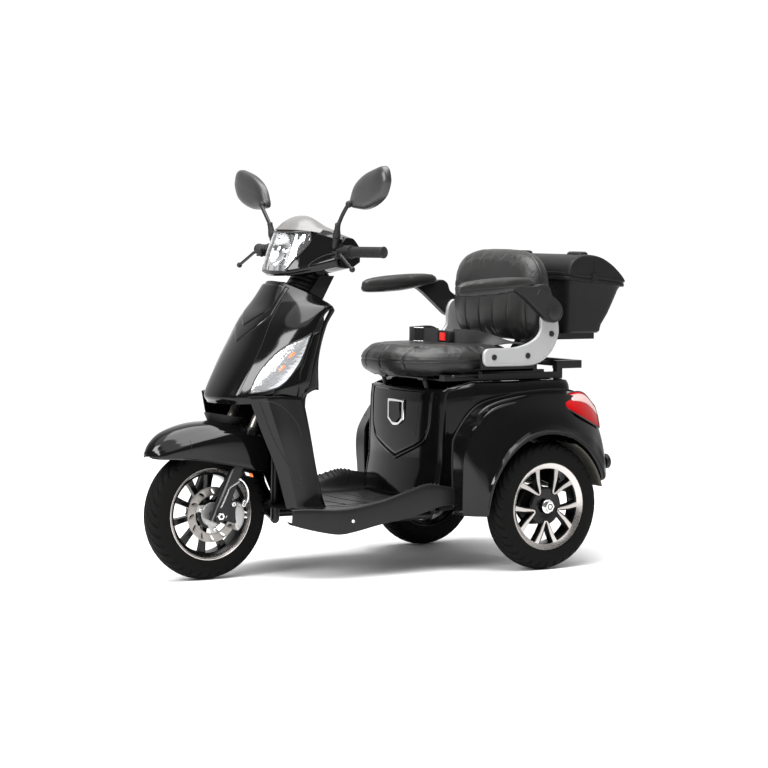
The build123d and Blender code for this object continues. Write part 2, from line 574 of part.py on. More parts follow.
def floorboard():
    """A hollow tread plate with deep side skirts and a ribbed hump beside each foot."""
    top = [(FLOOR_FRONT, DECK_Z), (REAR_Y - 500, DECK_Z), (REAR_Y - 300, DECK_Z + 2), (FLOOR_REAR, DECK_Z + 4)]
    low = [(FLOOR_REAR, DECK_Z - 4), (REAR_Y - 340, AXLE_Z - 30), (FRONT_Y + 420, AXLE_Z - 60), (FRONT_Y + 300, AXLE_Z - 62),
           (FLOOR_FRONT, AXLE_Z - 30)]
    tray = side_plate(top + low, -FLOOR_HALF, FLOOR_HALF)
    cavity = side_plate([(FLOOR_FRONT + WALL, DECK_Z - WALL), (REAR_Y - 500, DECK_Z - WALL),
                         (REAR_Y - 300, DECK_Z + 2 - WALL), (FLOOR_REAR - WALL, DECK_Z + 4 - WALL),
                         (FLOOR_REAR - WALL, AXLE_Z - 100), (FLOOR_FRONT + WALL, AXLE_Z - 100)],
                        -FLOOR_HALF + WALL, FLOOR_HALF - WALL)
    front_half = SHIELD_HALF - 2
    corner = plan_plate([(front_half, FLOOR_FRONT - 5), (FLOOR_HALF + 5, FLOOR_FRONT - 5),
                         (FLOOR_HALF + 5, FRONT_Y + 330), (FLOOR_HALF, FRONT_Y + 330)], 0, 400)
    hump = loft_x([
        (FLOOR_HALF - 58, [(HUMP_Y - 70, DECK_Z - 2), (HUMP_Y + 200, DECK_Z - 2), (HUMP_Y + 160, DECK_Z + 8),
                           (HUMP_Y - 20, DECK_Z + 8)]),
        (FLOOR_HALF - 24, [(HUMP_Y - 90, DECK_Z - 2), (HUMP_Y + 215, DECK_Z - 2), (HUMP_Y + 60, DECK_Z + 60),
                           (HUMP_Y, DECK_Z + 62)]),
        (FLOOR_HALF, [(HUMP_Y - 100, DECK_Z - 2), (HUMP_Y + 176, DECK_Z - 2), (HUMP_Y + 50, DECK_Z + 58),
                      (HUMP_Y, DECK_Z + 58)])])
    board = tray - cavity - corner - other_side(corner) + hump + other_side(hump)
    board -= block(-150, 150, FLOOR_FRONT - 5, FRONT_Y + 236, 0, 400)
    board -= Pos(0, DOWN_Y, DECK_Z) * Cylinder(FRAME_R, 60)
    board -= block(-NECK_HALF + 4, NECK_HALF - 4, BODY_FRONT - 20, FLOOR_REAR + 5, 0, 400)
    board -= side_cover_room()
    board -= plan_plate(body_plan(0), AXLE_Z + 20, BODY_TOP)
    board -= plan_plate(body_plan(-GAP), 0, AXLE_Z + 21) & block(-400, 400, BODY_FRONT + 40, REAR_Y, 0, 400)
    wing = side_plate([rear(*p) for p in FENDER_TOP] + [rear(200, 0), rear(-280, 0)], BODY_HALF, FENDER_X)
    board = keep_largest(board - wing - other_side(wing))
    return group(board, belly_pan())


def belly_pan():
    """Rounded tray under the footboard that covers the frame rails, open at the rear."""
    rear_end = REAR_Y - 340
    top = DECK_Z - WALL

    def ring(drop, wall):
        return [(FRONT_Y + 233 + wall, top + 2 * (wall > 0)), (FRONT_Y + 235 + wall, RAIL_Z - 20 + wall),
                (FRONT_Y + 330, RAIL_Z - drop + 16 + wall), (FRONT_Y + 470, RAIL_Z - drop + wall),
                (rear_end - 90, RAIL_Z - drop + 12 + wall), (rear_end + 2 * wall, RAIL_Z - 20 + wall),
                (rear_end + 2 * wall, top + 2 * (wall > 0))]
    outer = loft_x([(x, ring(d, 0)) for x, d in ((-175, 44), (-120, 60), (120, 60), (175, 44))])
    inner = loft_x([(x, ring(d, SHELL)) for x, d in ((-172, 44), (-120, 60), (120, 60), (172, 44))])
    return keep_largest(outer - inner)


def side_cover_room():
    """Clearance in the footboard for the lower ends of the side covers and the shield."""
    room = block(SHIELD_HALF - 11, SHIELD_HALF + 1, FLOOR_FRONT - 5, FRONT_Y + 312, AXLE_Z - 19, 400)
    room += block(-SHIELD_HALF - 1, -SHIELD_HALF + 11, FLOOR_FRONT - 5, FRONT_Y + 312, AXLE_Z - 19, 400)
    return room


RAIL_X = 135.0
RAIL_Z = AXLE_Z - 34
UPPER_X = 150.0
UPPER_Z = AXLE_Z + 251
FRAME_R = 14.0
DOWN_Y = FRONT_Y + 252
SWING_PIVOT = (REAR_Y - 265, AXLE_Z - 24)
SEAT_HINGE = (REAR_Y - 315, AXLE_Z + 404)


def main_frame():
    """Welded tubes: head tube, down tube, floor rails, rear loop, seat hinge posts and swing arm pivot."""
    head = STEER * Pos(0, FORK_OFFSET, (HEAD_LOW + HEAD_TOP) / 2) * Cylinder(HEAD_TUBE_R, HEAD_TOP - HEAD_LOW)
    down = straight_tube([(0, FRONT_Y + 232, AXLE_Z + 402), (0, DOWN_Y, AXLE_Z + 350), (0, DOWN_Y, RAIL_Z)], FRAME_R)
    frame = head + down
    for way in (-1, 1):
        frame += straight_tube([(0, DOWN_Y, RAIL_Z), (way * RAIL_X, DOWN_Y + 60, RAIL_Z),
                                (way * RAIL_X, REAR_Y - 300, RAIL_Z), (way * RAIL_X, SWING_PIVOT[0] - 28, SWING_PIVOT[1]),
                                (way * UPPER_X, REAR_Y - 270, UPPER_Z), (way * UPPER_X, REAR_Y + 170, UPPER_Z)], FRAME_R)
        post_x = way * HINGE_X
        frame += rod((post_x, REAR_Y - 258, UPPER_Z), (post_x, SEAT_HINGE[0], SEAT_HINGE[1]), 7)
        frame += rod_x(9, post_x - 7, post_x + 7, SEAT_HINGE)
        tab = rod((way * UPPER_X, SHOCK_TOP[0], UPPER_Z - 4), (way * UPPER_X, SHOCK_TOP[0], SHOCK_TOP[1] - 4), 12)
        frame += tab
    for y in (REAR_Y - 258, REAR_Y + 150):
        frame += rod_x(FRAME_R - 2, -UPPER_X, UPPER_X, (y, UPPER_Z))
    frame += rod_x(PIVOT_R, -RAIL_X, RAIL_X, SWING_PIVOT)
    for way in (-1, 1):
        frame += rod((way * RAIL_X, SWING_PIVOT[0] - 30, SWING_PIVOT[1]), (way * RAIL_X, SWING_PIVOT[0], SWING_PIVOT[1]), 10)
    frame -= STEER * Pos(0, FORK_OFFSET, (HEAD_LOW + HEAD_TOP) / 2) * Cylinder(STEM_R + RUN, HEAD_TOP - HEAD_LOW + 40)
    frame -= rod_x(HINGE_R, -300, 300, SEAT_HINGE)
    return frame


HINGE_X = 118.0
SHOCK_TOP = (REAR_Y - 37, AXLE_Z + 238)
SHOCK_LOW = (REAR_Y, AXLE_Z + 26)


# ---------------------------------------------------------------- rear body
BODY_FRONT = REAR_Y - 285
BODY_REAR = REAR_Y + 201
BODY_TOP = AXLE_Z + 394
BODY_FLOOR = AXLE_Z + 70
NECK_HALF = 200.0
PLATE_BOLTS = 80.0
PLATE_BOLT_R = 3.0
PLATE_Z = AXLE_Z + 290


def body_plan(inset):
    side = [(NECK_HALF - inset, BODY_FRONT + inset), (NECK_HALF - inset, BODY_FRONT + 26), (BODY_HALF - inset, BODY_FRONT + 70),
            (BODY_HALF - inset, BODY_REAR - 40 - inset), (BODY_HALF - 40 - inset, BODY_REAR - inset)]
    return side + [(-x, y) for x, y in side[::-1]]


def rear_body():
    """The cover over the battery bay: hollow, open below, with an access hole under the seat."""
    body = plan_plate(body_plan(0), AXLE_Z + 20, BODY_TOP) - plan_plate(body_plan(WALL), AXLE_Z, BODY_TOP - WALL)
    body -= block(-BODY_HALF - 1, BODY_HALF + 1, REAR_Y - 160, BODY_REAR + 1, AXLE_Z, BODY_FLOOR)
    body -= block(-132, 132, BODY_FRONT - 5, REAR_Y - 20, BODY_TOP - 10, BODY_TOP + 5)
    body -= block(-168, 168, BODY_FRONT - 5, BODY_FRONT + 10, AXLE_Z, BODY_TOP - 40)
    body -= block(-132, 132, BODY_FRONT - 5, BODY_FRONT + 10, BODY_TOP - 41, BODY_TOP + 5)
    slope = side_plate([(BODY_FRONT - 5, BODY_TOP - 22), (BODY_FRONT + 85, BODY_TOP + 1), (BODY_FRONT - 5, BODY_TOP + 1)],
                       -300, 300)
    body -= slope
    for x in (-PLATE_BOLTS / 2, PLATE_BOLTS / 2):
        body -= Pos(x, BODY_REAR, PLATE_Z) * Rot(90, 0, 0) * Cylinder(PLATE_BOLT_R, 30)
    return body


def seat_box_front():
    """Crowned front cover of the battery bay, with its bright shield-shaped plate."""
    def ring(shift, inset):
        side = [(NECK_HALF - inset, BODY_FRONT + (inset and 20)), (NECK_HALF - inset, BODY_FRONT - 20 + shift + inset),
                (110, BODY_FRONT - 42 + shift + inset)]
        return side + [(0, BODY_FRONT - 50 + shift + inset)] + [(-x, y) for x, y in side[::-1]]
    z0, z1 = DECK_Z + 4.5, BODY_TOP - 22
    cover = loft_z([(z0, ring(-24, 0)), (z1, ring(0, 0))]) - loft_z([(z0 - 1, ring(-24, WALL)), (z1 + 1, ring(0, WALL))])
    lean = 24 / (z1 - z0)
    badge = [(46, AXLE_Z + 330), (46, AXLE_Z + 262), (0, AXLE_Z + 244), (-46, AXLE_Z + 262), (-46, AXLE_Z + 330)]
    face_y = BODY_FRONT - 50 - lean * (z1 - AXLE_Z - 290)
    plate = extrude(Plane.XZ.offset(-face_y + 26) * make_face(Polyline(*badge, close=True)), -36)
    body = loft_z([(z0, ring(-24, 0)), (z1, ring(0, 0))])
    return group(cover, keep_largest(plate - body))


FENDER_TOP = [(-290, 31), (-297, 176), (-270, 231), (-195, 313), (-54, 349), (70, 356), (188, 352), (237, 308),
              (230, 232), (262, 206), (276, 150), (262, 84), (240, 70)]


def rear_fender():
    """Left rear fender: an outer wall with a wheel arch and a top wall that joins the body."""
    outline = [rear(*p) for p in FENDER_TOP]
    closed = outline + [rear(200, 0), rear(-280, 0)]
    x0 = BODY_HALF + 0.3
    outer = side_plate(closed, x0, FENDER_X)
    inset = shrink(closed, WALL)
    inner = side_plate(inset[:-2] + [rear(196, -40), rear(-276, -40)], x0 - 1, FENDER_X - WALL)
    arch = rod_x(TYRE_R + ARCH_GAP, x0 + 6, FENDER_X + 1, (REAR_Y, AXLE_Z))
    below = block(x0 - 1, FENDER_X + 1, REAR_Y - 400, REAR_Y + 400, AXLE_Z - 50, AXLE_Z + 31)
    return keep_largest(outer - inner - arch - below)


def lamp_cut():
    """Space of the left tail lamp at the fender's upper rear corner."""
    return side_plate([rear(68, 336), rear(130, 358), rear(190, 354), rear(240, 308), rear(232, 236), rear(140, 288)],
                      BODY_HALF + 40, FENDER_X + 1)


def rear_fenders():
    return pair(keep_largest(rear_fender() - lamp_cut()))


def tail_lights():
    """Lamp bodies in the fenders' upper corners, and round reflectors on their tails."""
    outline = [rear(*p) for p in FENDER_TOP] + [rear(200, 0), rear(-280, 0)]
    lamp = side_plate(outline, BODY_HALF + 40, FENDER_X) & lamp_cut()
    lamp -= rod_x(TYRE_R + ARCH_GAP, BODY_HALF, FENDER_X + 1, (REAR_Y, AXLE_Z))
    lamp = keep_largest(lamp)
    cup = Pos(FENDER_X - 60, REAR_Y + 283, AXLE_Z + 130) * Rot(90, 0, 0) * Cylinder(20, 14)
    return group(pair(lamp), pair(cup))


def battery_pack():
    return fillet(block(-118, 118, REAR_Y - 240, REAR_Y - 70, AXLE_Z + 125, AXLE_Z + 330).edges().filter_by(Axis.Z), 12)


def motor_controller():
    body = block(-70, 70, REAR_Y - 40, REAR_Y + 110, AXLE_Z + 300, AXLE_Z + 345)
    fins = [block(x, x + 3, REAR_Y - 40, REAR_Y + 110, AXLE_Z + 345, AXLE_Z + 353) for x in range(-66, 66, 12)]
    for fin in fins:
        body += fin
    return body


# ---------------------------------------------------------------- rear suspension and drive
TUBE_END = WHEEL_X - 44
ARM_X = 88.0
GEARBOX_R = 62.0


def swing_arm():
    """Axle tube with gear casing, trailing arms, brake backplates and the two shock rods."""
    axle = (REAR_Y, AXLE_Z)
    arm = rod_x(24, -TUBE_END, TUBE_END, axle) + rod_x(GEARBOX_R, -48, 48, axle)
    for way in (-1, 1):
        arm += rod((way * ARM_X, SWING_PIVOT[0], SWING_PIVOT[1]), (way * ARM_X, REAR_Y, AXLE_Z), 13)
        arm += rod_x(17, way * ARM_X - 16, way * ARM_X + 16, SWING_PIVOT)
        arm += rod_x(66, *sorted((way * (TUBE_END - 8), way * TUBE_END)), axle)
    arm -= rod_x(PIVOT_R + RUN, -RAIL_X, RAIL_X, SWING_PIVOT)
    arm -= rod_x(SHAFT_R + RUN, -TUBE_END - 1, TUBE_END + 1, axle)
    shock = Vector(0, SHOCK_TOP[0] - SHOCK_LOW[0], SHOCK_TOP[1] - SHOCK_LOW[1]).normalized()
    base = Vector(UPPER_X, *SHOCK_LOW)
    stub = rod(base - shock * 6, base + shock * 84, 6) + rod(base - shock * 6, base + shock * 6, 11)
    stub -= rod_x(24, -TUBE_END, TUBE_END, axle)
    return group(arm, pair(stub))


def drive_motor():
    """Motor can beside the gear casing, ahead of the axle."""
    return rod_x(52, -46, 60, (REAR_Y - 108, AXLE_Z + 44)) - rod_x(GEARBOX_R + 0.2, -80, 80, (REAR_Y, AXLE_Z))


def half_shaft():
    """Left drive shaft with its washer and wheel nut."""
    end = WHEEL_X + HUB_HALF
    shaft = rod_x(SHAFT_R, 52, end + 4, (REAR_Y, AXLE_Z))
    washer = rod_x(22, end, end + 4, (REAR_Y, AXLE_Z))
    nut = extrude(Plane.YZ.offset(end + 4) * Pos(REAR_Y, AXLE_Z) * RegularPolygon(17, 6), 12)
    return shaft + washer + nut


def shock_line():
    base, top = Vector(UPPER_X, *SHOCK_LOW), Vector(UPPER_X, *SHOCK_TOP)
    return base, top, (top - base).normalized()


def shock_bodies():
    """Upper shock tubes, hung from the frame's tabs."""
    base, top, run = shock_line()
    body = rod(base + run * 58, top - run * 12, 18) - rod(base + run * 50, base + run * 140, 13.5)
    return pair(body - rod((UPPER_X, SHOCK_TOP[0], UPPER_Z), (UPPER_X, SHOCK_TOP[0], SHOCK_TOP[1] - 4), 12))


def shock_springs():
    """Coil springs around the shocks, as plain sleeves of their outer shape."""
    base, top, run = shock_line()
    return pair(rod(base + run * 30, base + run * 170, 29) - rod(base + run * 29, base + run * 171, 23))


# ---------------------------------------------------------------- seat
SEAT_Z = AXLE_Z + 436
PLATFORM_Z = AXLE_Z + 398
RAIL_SEAT_X = 190.0
SEAT_FRONT = REAR_Y - 481
SEAT_REAR = REAR_Y + 28


def seat_platform():
    """Hinged sub-frame that carries the lower seat rails and tips forward."""
    z0 = PLATFORM_Z
    side = block(RAIL_SEAT_X - 14, RAIL_SEAT_X + 14, SEAT_HINGE[0] + 20, REAR_Y + 169, z0, z0 + 20)
    side -= block(RAIL_SEAT_X - 8, RAIL_SEAT_X + 8, SEAT_HINGE[0] + 25, REAR_Y + 170, z0 + 6, z0 + 21)
    base = side + other_side(side)
    for y in (SEAT_HINGE[0] + 20, REAR_Y - 60, REAR_Y + 139):
        base += block(-RAIL_SEAT_X + 12, RAIL_SEAT_X - 12, y, y + 30, z0, z0 + 5)
    for way in (-1, 1):
        x0, x1 = sorted((way * (HINGE_X - 8), way * (HINGE_X - 24)))
        base += block(x0, x1, SEAT_HINGE[0], SEAT_HINGE[0] + 40, z0, z0 + 12)
        base += rod_x(9, x0, x1, SEAT_HINGE)
    base += rod_x(HINGE_R - RUN, -HINGE_X - 12, HINGE_X + 12, SEAT_HINGE)
    return base


def seat_frame():
    """Upper rails, seat pan, bracket flanges and the posts that hold the backrest."""
    z0 = PLATFORM_Z
    runner = block(RAIL_SEAT_X - 7, RAIL_SEAT_X + 7, SEAT_HINGE[0] + 90, REAR_Y + 109, z0 + 6.5, SEAT_Z - 8)
    pan = block(-SEAT_HALF + 30, SEAT_HALF - 30, SEAT_FRONT + 60, REAR_Y + 40, SEAT_Z - 8, SEAT_Z)
    pan = runner + other_side(runner) + pan
    for way in (-1, 1):
        x0, x1 = sorted((way * (SEAT_HALF - 31), way * BRACKET_IN))
        pan += block(x0, x1, REAR_Y - 190, REAR_Y + 20, SEAT_Z - 8, SEAT_Z)
        x0, x1 = sorted((way * (BRACKET_IN - 8), way * BRACKET_IN))
        pan += block(x0, x1, REAR_Y - 190, REAR_Y + 20, SEAT_Z - 8, AXLE_Z + 486)
        x0, x1 = sorted((way * 60, way * 92))
        pan += block(x0, x1, REAR_Y + 30, REAR_Y + 52, SEAT_Z - 8, AXLE_Z + 460)
        pan += side_plate([rear(40, 450), rear(52, 450), rear(BACK_REAR + 8, 560), rear(BACK_REAR + 10, 740),
                           rear(BACK_REAR, 740), rear(BACK_REAR - 2, 560)], x0, x1)
    return pan


BRACKET_IN = 256.0
BRACKET_T = 14.0
BACK_REAR = 122.0
ARM_PIVOT = (REAR_Y + 68, AXLE_Z + 618)
ARM_PIVOT_R = 10.0


def seat_cushion():
    """A thick pad, round at the front, as a plain closed form."""
    outline = [(SEAT_HALF - 75, SEAT_FRONT + 22), (SEAT_HALF - 30, SEAT_FRONT + 90), (SEAT_HALF, SEAT_FRONT + 190),
               (SEAT_HALF, SEAT_REAR - 90), (SEAT_HALF - 30, SEAT_REAR - 20), (SEAT_HALF - 60, SEAT_REAR - 6)]
    plan = [(60, SEAT_FRONT)] + outline
    plan = plan + [(-x, y) for x, y in plan[::-1]]
    pad = plan_plate(plan, SEAT_Z - 24, SEAT_Z + 74)
    pad &= side_plate([(SEAT_FRONT - 5, SEAT_Z - 8), (SEAT_FRONT + 20, SEAT_Z - 22), (SEAT_FRONT + 55, SEAT_Z - 24),
                       (SEAT_FRONT + 56, SEAT_Z + 0.3), (SEAT_REAR + 5, SEAT_Z + 0.3), (SEAT_REAR + 5, SEAT_Z + 60),
                       (SEAT_FRONT + 300, SEAT_Z + 72), (SEAT_FRONT + 80, SEAT_Z + 74), (SEAT_FRONT - 5, SEAT_Z + 45)],
                      -400, 400)
    return keep_largest(pad)


def back_cushion():
    """Backrest pad: wide and channelled below, narrower and round at the top."""
    outline = [(-150, 550), (150, 550), (205, 600), (222, 680), (205, 740), (160, 792), (90, 818), (-90, 818),
               (-160, 792), (-205, 740), (-222, 680), (-205, 600)]
    pts = [(x, AXLE_Z + z) for x, z in outline]
    face = Plane.XZ.offset(-(REAR_Y + 10)) * make_face(Polyline(*pts, close=True))
    pad = extrude(face, -(BACK_REAR + 30))
    pad &= side_plate([rear(28, 545), rear(BACK_REAR - 30, 545), rear(BACK_REAR - 2.5, 562), rear(BACK_REAR - 0.5, 740),
                       rear(BACK_REAR - 6, 822), rear(64, 822), rear(34, 760), rear(26, 690), rear(30, 600)], -300, 300)
    return keep_largest(pad)


BRACKET = [(-196, 470), (-196, 500), (-182, 512), (-60, 514), (-8, 536), (22, 584), (26, 640), (110, 640), (108, 560),
           (84, 500), (40, 462), (-30, 450), (-176, 450)]
BOLTS = [(-161, 481), (-28, 482), (69, 551)]


def seat_brackets():
    """Bright curved plates that tie the seat pan, backrest and armrests, with their bolt heads and pivots."""
    outline = [rear(*p) for p in BRACKET]
    plate = side_plate(outline, BRACKET_IN, BRACKET_IN + BRACKET_T)
    plate &= plate
    for point in BOLTS:
        plate += rod_x(8, BRACKET_IN + BRACKET_T, BRACKET_IN + BRACKET_T + 4, rear(*point))
    plate += rod_x(ARM_PIVOT_R, BRACKET_IN + BRACKET_T, BRACKET_IN + BRACKET_T + 32, ARM_PIVOT)
    return pair(plate)


PAD_X0, PAD_X1 = 244.0, 302.0
PAD_Z = AXLE_Z + 700


def armrest():
    """Left armrest: a cranked arm on the pivot and a padded top."""
    x0, x1 = BRACKET_IN + BRACKET_T + GAP, BRACKET_IN + BRACKET_T + 30
    py, pz = ARM_PIVOT
    arm = rod_x(34, x0, x1, ARM_PIVOT)
    arm += side_plate([(py - 26, pz - 26), (py - 155, pz + 50), (py - 350, pz + 62), (py - 350, pz + 76),
                       (py - 60, pz + 76), (py + 18, pz + 30)], x0, x1)
    arm -= rod_x(ARM_PIVOT_R + RUN, x0 - 1, x0 + 32, ARM_PIVOT)
    plan = [(PAD_X0, py - 360), (PAD_X0 + 10, py - 372), (PAD_X1 - 10, py - 372), (PAD_X1, py - 360),
            (PAD_X1, py - 66), (PAD_X0, py - 66)]
    pad = plan_plate(plan, pz + 76, pz + 119)
    return group(arm, pad)


def slide_lever():
    """Bar under the seat's left edge that frees the slide."""
    a = Vector(RAIL_SEAT_X + 24, SEAT_HINGE[0] + 150, SEAT_Z - 20)
    lever = rod(a, a + Vector(24, -120, -2), 5) + Pos(*(a + Vector(24, -120, -2))) * Sphere(7)
    hub = rod(a - Vector(0, 0, 5), a + Vector(0, 0, 5), 9)
    return lever + hub - rod(a - Vector(0, 0, 9), a + Vector(0, 0, 9), HINGE_R + RUN)


def seat_lever_pin():
    a = Vector(RAIL_SEAT_X + 24, SEAT_HINGE[0] + 150, SEAT_Z - 20)
    return rod(a - Vector(0, 0, 7), a + Vector(0, 0, 12.0), HINGE_R)


BELT_Z = SEAT_Z + 75
BUCKLE = (8, REAR_Y - 178)


def seat_belt():
    """Lap belt lying on the seat: two webbing runs that drop beside the cushion, a loop and the buckle."""
    bx, by = BUCKLE
    y0, y1 = REAR_Y - 40, REAR_Y + 6
    side = SEAT_HALF + 3
    left = plan_plate([(bx + 64, by + 8), (bx + 64, by + 54), (side + 3, y1), (side + 3, y0)], BELT_Z, BELT_Z + 3)
    right = plan_plate([(-112, by + 18), (-112, by + 64), (-side - 3, y1), (-side - 3, y0)], BELT_Z, BELT_Z + 3)
    drop = block(side, side + 3, y0, y1, SEAT_Z, BELT_Z + 3)
    loop = block(-115, bx, by - 2, by + 2, BELT_Z, BELT_Z + 44) + block(-115, -112, by - 2, by + 64, BELT_Z, BELT_Z + 44)
    buckle = block(bx, bx + 64, by - 12, by + 20, BELT_Z, BELT_Z + 40)
    buckle -= block(bx + 18, bx + 46, by - 13, by - 4, BELT_Z + 8, BELT_Z + 34)
    return group(left + drop, right + other_side(drop) + loop, buckle - left)


def buckle_button():
    bx, by = BUCKLE
    return block(bx + 18.6, bx + 45.4, by - 14, by - 8, BELT_Z + 8.6, BELT_Z + 33.4)


# ---------------------------------------------------------------- rear carrier and luggage box
TRAY_Z = AXLE_Z + 541
BOX_TILT = [(158, 736), (REAR_OVERHANG, 708)]   # rim line, front and rear, from the rear axle
POST_Y = REAR_Y + 186


def rear_carrier():
    """Post and tray for the box, and the grab rail around its foot."""
    tray = block(-150, 150, REAR_Y + 160, REAR_Y + 353, TRAY_Z - 20, TRAY_Z)
    post = block(-40, 40, POST_Y, POST_Y + 14, BODY_TOP, TRAY_Z - 10)
    foot = block(-60, 60, POST_Y - 10, POST_Y + 14, BODY_TOP, BODY_TOP + 8)
    rail_z = AXLE_Z + 440
    rail = block(158, 182, REAR_Y + 173, REAR_Y + 277, rail_z - 13, rail_z + 13)
    rail += other_side(rail) + block(-182, 182, REAR_Y + 255, REAR_Y + 277, rail_z - 13, rail_z + 13)
    rail += block(-60, 60, POST_Y + 10, REAR_Y + 256, rail_z - 4, rail_z + 4)
    legs = block(160, 180, REAR_Y + 174, REAR_Y + 198, BODY_TOP, rail_z)
    return tray + post + foot + rail + legs + other_side(legs)


def box_ring(z, inset):
    """Plan outline of the box at a height above the tray: it widens upwards and its rear leans out."""
    k = z / 190
    half = 190 + 26 * k - inset
    y0 = REAR_Y + 176 - 10 * k + inset
    y1 = REAR_Y + 357 + 64 * k - inset
    c = 30
    side = [(half - c, y0), (half, y0 + c), (half, y1 - c), (half - c, y1)]
    return side + [(-x, y) for x, y in side[::-1]]


def rim_cutter(lift):
    """Everything above the box's sloping rim."""
    (y0, z0), (y1, z1) = [rear(*p) for p in BOX_TILT]
    return side_plate([(y0 - 60, z0 + 6 + lift), (y1 + 60, z1 - 6 + lift), (y1 + 60, z1 + 400), (y0 - 60, z1 + 400)],
                      -400, 400)


def top_box():
    """Luggage tub, open at the top, with its lid hinge lugs."""
    outer = loft_z([(TRAY_Z, box_ring(0, 0)), (TRAY_Z + 205, box_ring(205, 0))])
    inner = loft_z([(TRAY_Z + WALL, box_ring(WALL, WALL)), (TRAY_Z + 206, box_ring(206, WALL))])
    return keep_largest(outer - inner - rim_cutter(0))


LID_HINGE = rear(BOX_TILT[0][0], BOX_TILT[0][1] + 1)


def lid_solid(inset):
    def ring(z, shrink_x, y0, y1):
        half, c = 225 - shrink_x - inset, 34
        a, b = REAR_Y + y0 + inset, REAR_Y + y1 - inset
        side = [(half - c, a), (half, a + c), (half, b - c), (half - c, b)]
        return (AXLE_Z + z, side + [(-x, y) for x, y in side[::-1]])
    top = 800 - inset
    return loft_z([ring(690, 0, 158, REAR_OVERHANG), ring(722, 0, 158, REAR_OVERHANG), ring(752, 14, 172, 404),
                   ring(780, 34, 192, 368), ring(top, 70, 226, 322)])


def box_lid():
    """Domed lid with a rolled rim, and the grip pad on its top."""
    shell = lid_solid(0) - lid_solid(WALL)
    (y0, z0), (y1, z1) = [rear(*p) for p in BOX_TILT]
    below = side_plate([(y0 - 60, z0 + 6 + GAP), (y1 + 60, z1 - 6 + GAP), (y1 + 60, z1 - 300), (y0 - 60, z1 - 300)],
                       -400, 400)
    pad = block(-52, 52, REAR_Y + 236, REAR_Y + 312, AXLE_Z + 800, AXLE_Z + 812)
    return group(keep_largest(shell - below), pad)


def glovebox_door():
    """Flap over the storage bin with a barrel along its lower edge, and a pull rib at the top."""
    y, z = DOOR_HINGE
    top = AXLE_Z + BIN_TOP + 2
    flap = block(-DOOR_HALF, DOOR_HALF, y - 4, y - 4 + DOOR_T, z, top)
    flap += block(-30, 30, y - 1, y + 8, top - 10, top - 4)
    flap += rod_x(4, -DOOR_HALF, DOOR_HALF, DOOR_HINGE)
    return flap - rod_x(DOOR_PIN_R + RUN, -DOOR_HALF - 1, DOOR_HALF + 1, DOOR_HINGE)


# ---------------------------------------------------------------- assembly
def front_side(shape):
    return Pos(0, FRONT_Y, AXLE_Z) * shape


def build():
    cowl, lens, dash = cowl_parts()
    left_wheel, right_wheel = Pos(WHEEL_X, REAR_Y, AXLE_Z), Pos(-WHEEL_X, REAR_Y, AXLE_Z)
    key_lock = ignition_key()
    return {
        "main_frame": main_frame(),
        "floorboard": floorboard(),
        "front_apron": front_apron(),
        "leg_shield": shield_with_bin(),
        "side_covers": side_covers(),
        "turn_signals": turn_signals(),
        "glovebox_door": glovebox_door(),
        "battery_pack": battery_pack(),
        "motor_controller": motor_controller(),
        "seat_box_front": seat_box_front(),
        "rear_body": rear_body(),
        "rear_fenders": rear_fenders(),
        "tail_lights": tail_lights(),
        "rear_carrier": rear_carrier(),
        "top_box": top_box(),
        "box_lid": box_lid(),
        "swing_arm": swing_arm(),
        "drive_motor": drive_motor(),
        "shock_bodies": shock_bodies(),
        "shock_springs": shock_springs(),
        "rear_rim_left": left_wheel * rim(SHAFT_R),
        "rear_rim_right": right_wheel * rim(SHAFT_R),
        "rear_tyre_left": left_wheel * tyre(),
        "rear_tyre_right": right_wheel * tyre(),
        "half_shaft_left": half_shaft(),
        "half_shaft_right": other_side(half_shaft()),
        "front_rim": front_side(rim(AXLE_R + RUN)),
        "front_tyre": front_side(tyre()),
        "brake_disc": front_side(brake_disc()),
        "fork_sliders": fork_sliders(),
        "brake_caliper": brake_caliper(),
        "front_fender": front_fender(),
        "steering_stem": steering_stem(),
        "handlebar": handlebar(),
        "control_pods": control_pods(),
        "grip_left": grip(0),
        "throttle_grip": other_side(grip(RUN)),
        "brake_lever_left": brake_lever(),
        "brake_lever_right": other_side(brake_lever()),
        "mirror_arm_left": mirror_arm(),
        "mirror_arm_right": other_side(mirror_arm()),
        "mirror_head_left": mirror_head(),
        "mirror_head_right": Compound(children=[other_side(s) for s in mirror_head().solids()]),
        "headlight_cowl": cowl,
        "headlight_lens": lens,
        "headlight_reflector": headlight_reflector(),
        "dash_cover": dash,
        "visor": visor(),
        "ignition_key": key_lock,
        "seat_platform": seat_platform(),
        "seat_frame": seat_frame() + seat_lever_pin(),
        "seat_cushion": seat_cushion(),
        "back_cushion": back_cushion(),
        "seat_brackets": seat_brackets(),
        "armrest_left": armrest(),
        "armrest_right": Compound(children=[other_side(s) for s in armrest().solids()]),
        "slide_lever": slide_lever(),
        "seat_belt": seat_belt(),
        "buckle_button": buckle_button(),
    }


os.makedirs("parts", exist_ok=True)
for name, shape in build().items():
    export_step(shape, f"parts/{name}.step")
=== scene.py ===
"""Three-wheeled mobility scooter, dressed over its CAD frame.

Metres, +X the rider's left, -Y forward, +Z up. Every place is taken from the
CAD nodes' boxes or from the sizes of the part itself. AXLE is the height of
the axles, FRONT and REAR the two axle lines.
"""
import math

import bmesh
import bpy
import numpy as np
from mathutils import Matrix, Vector


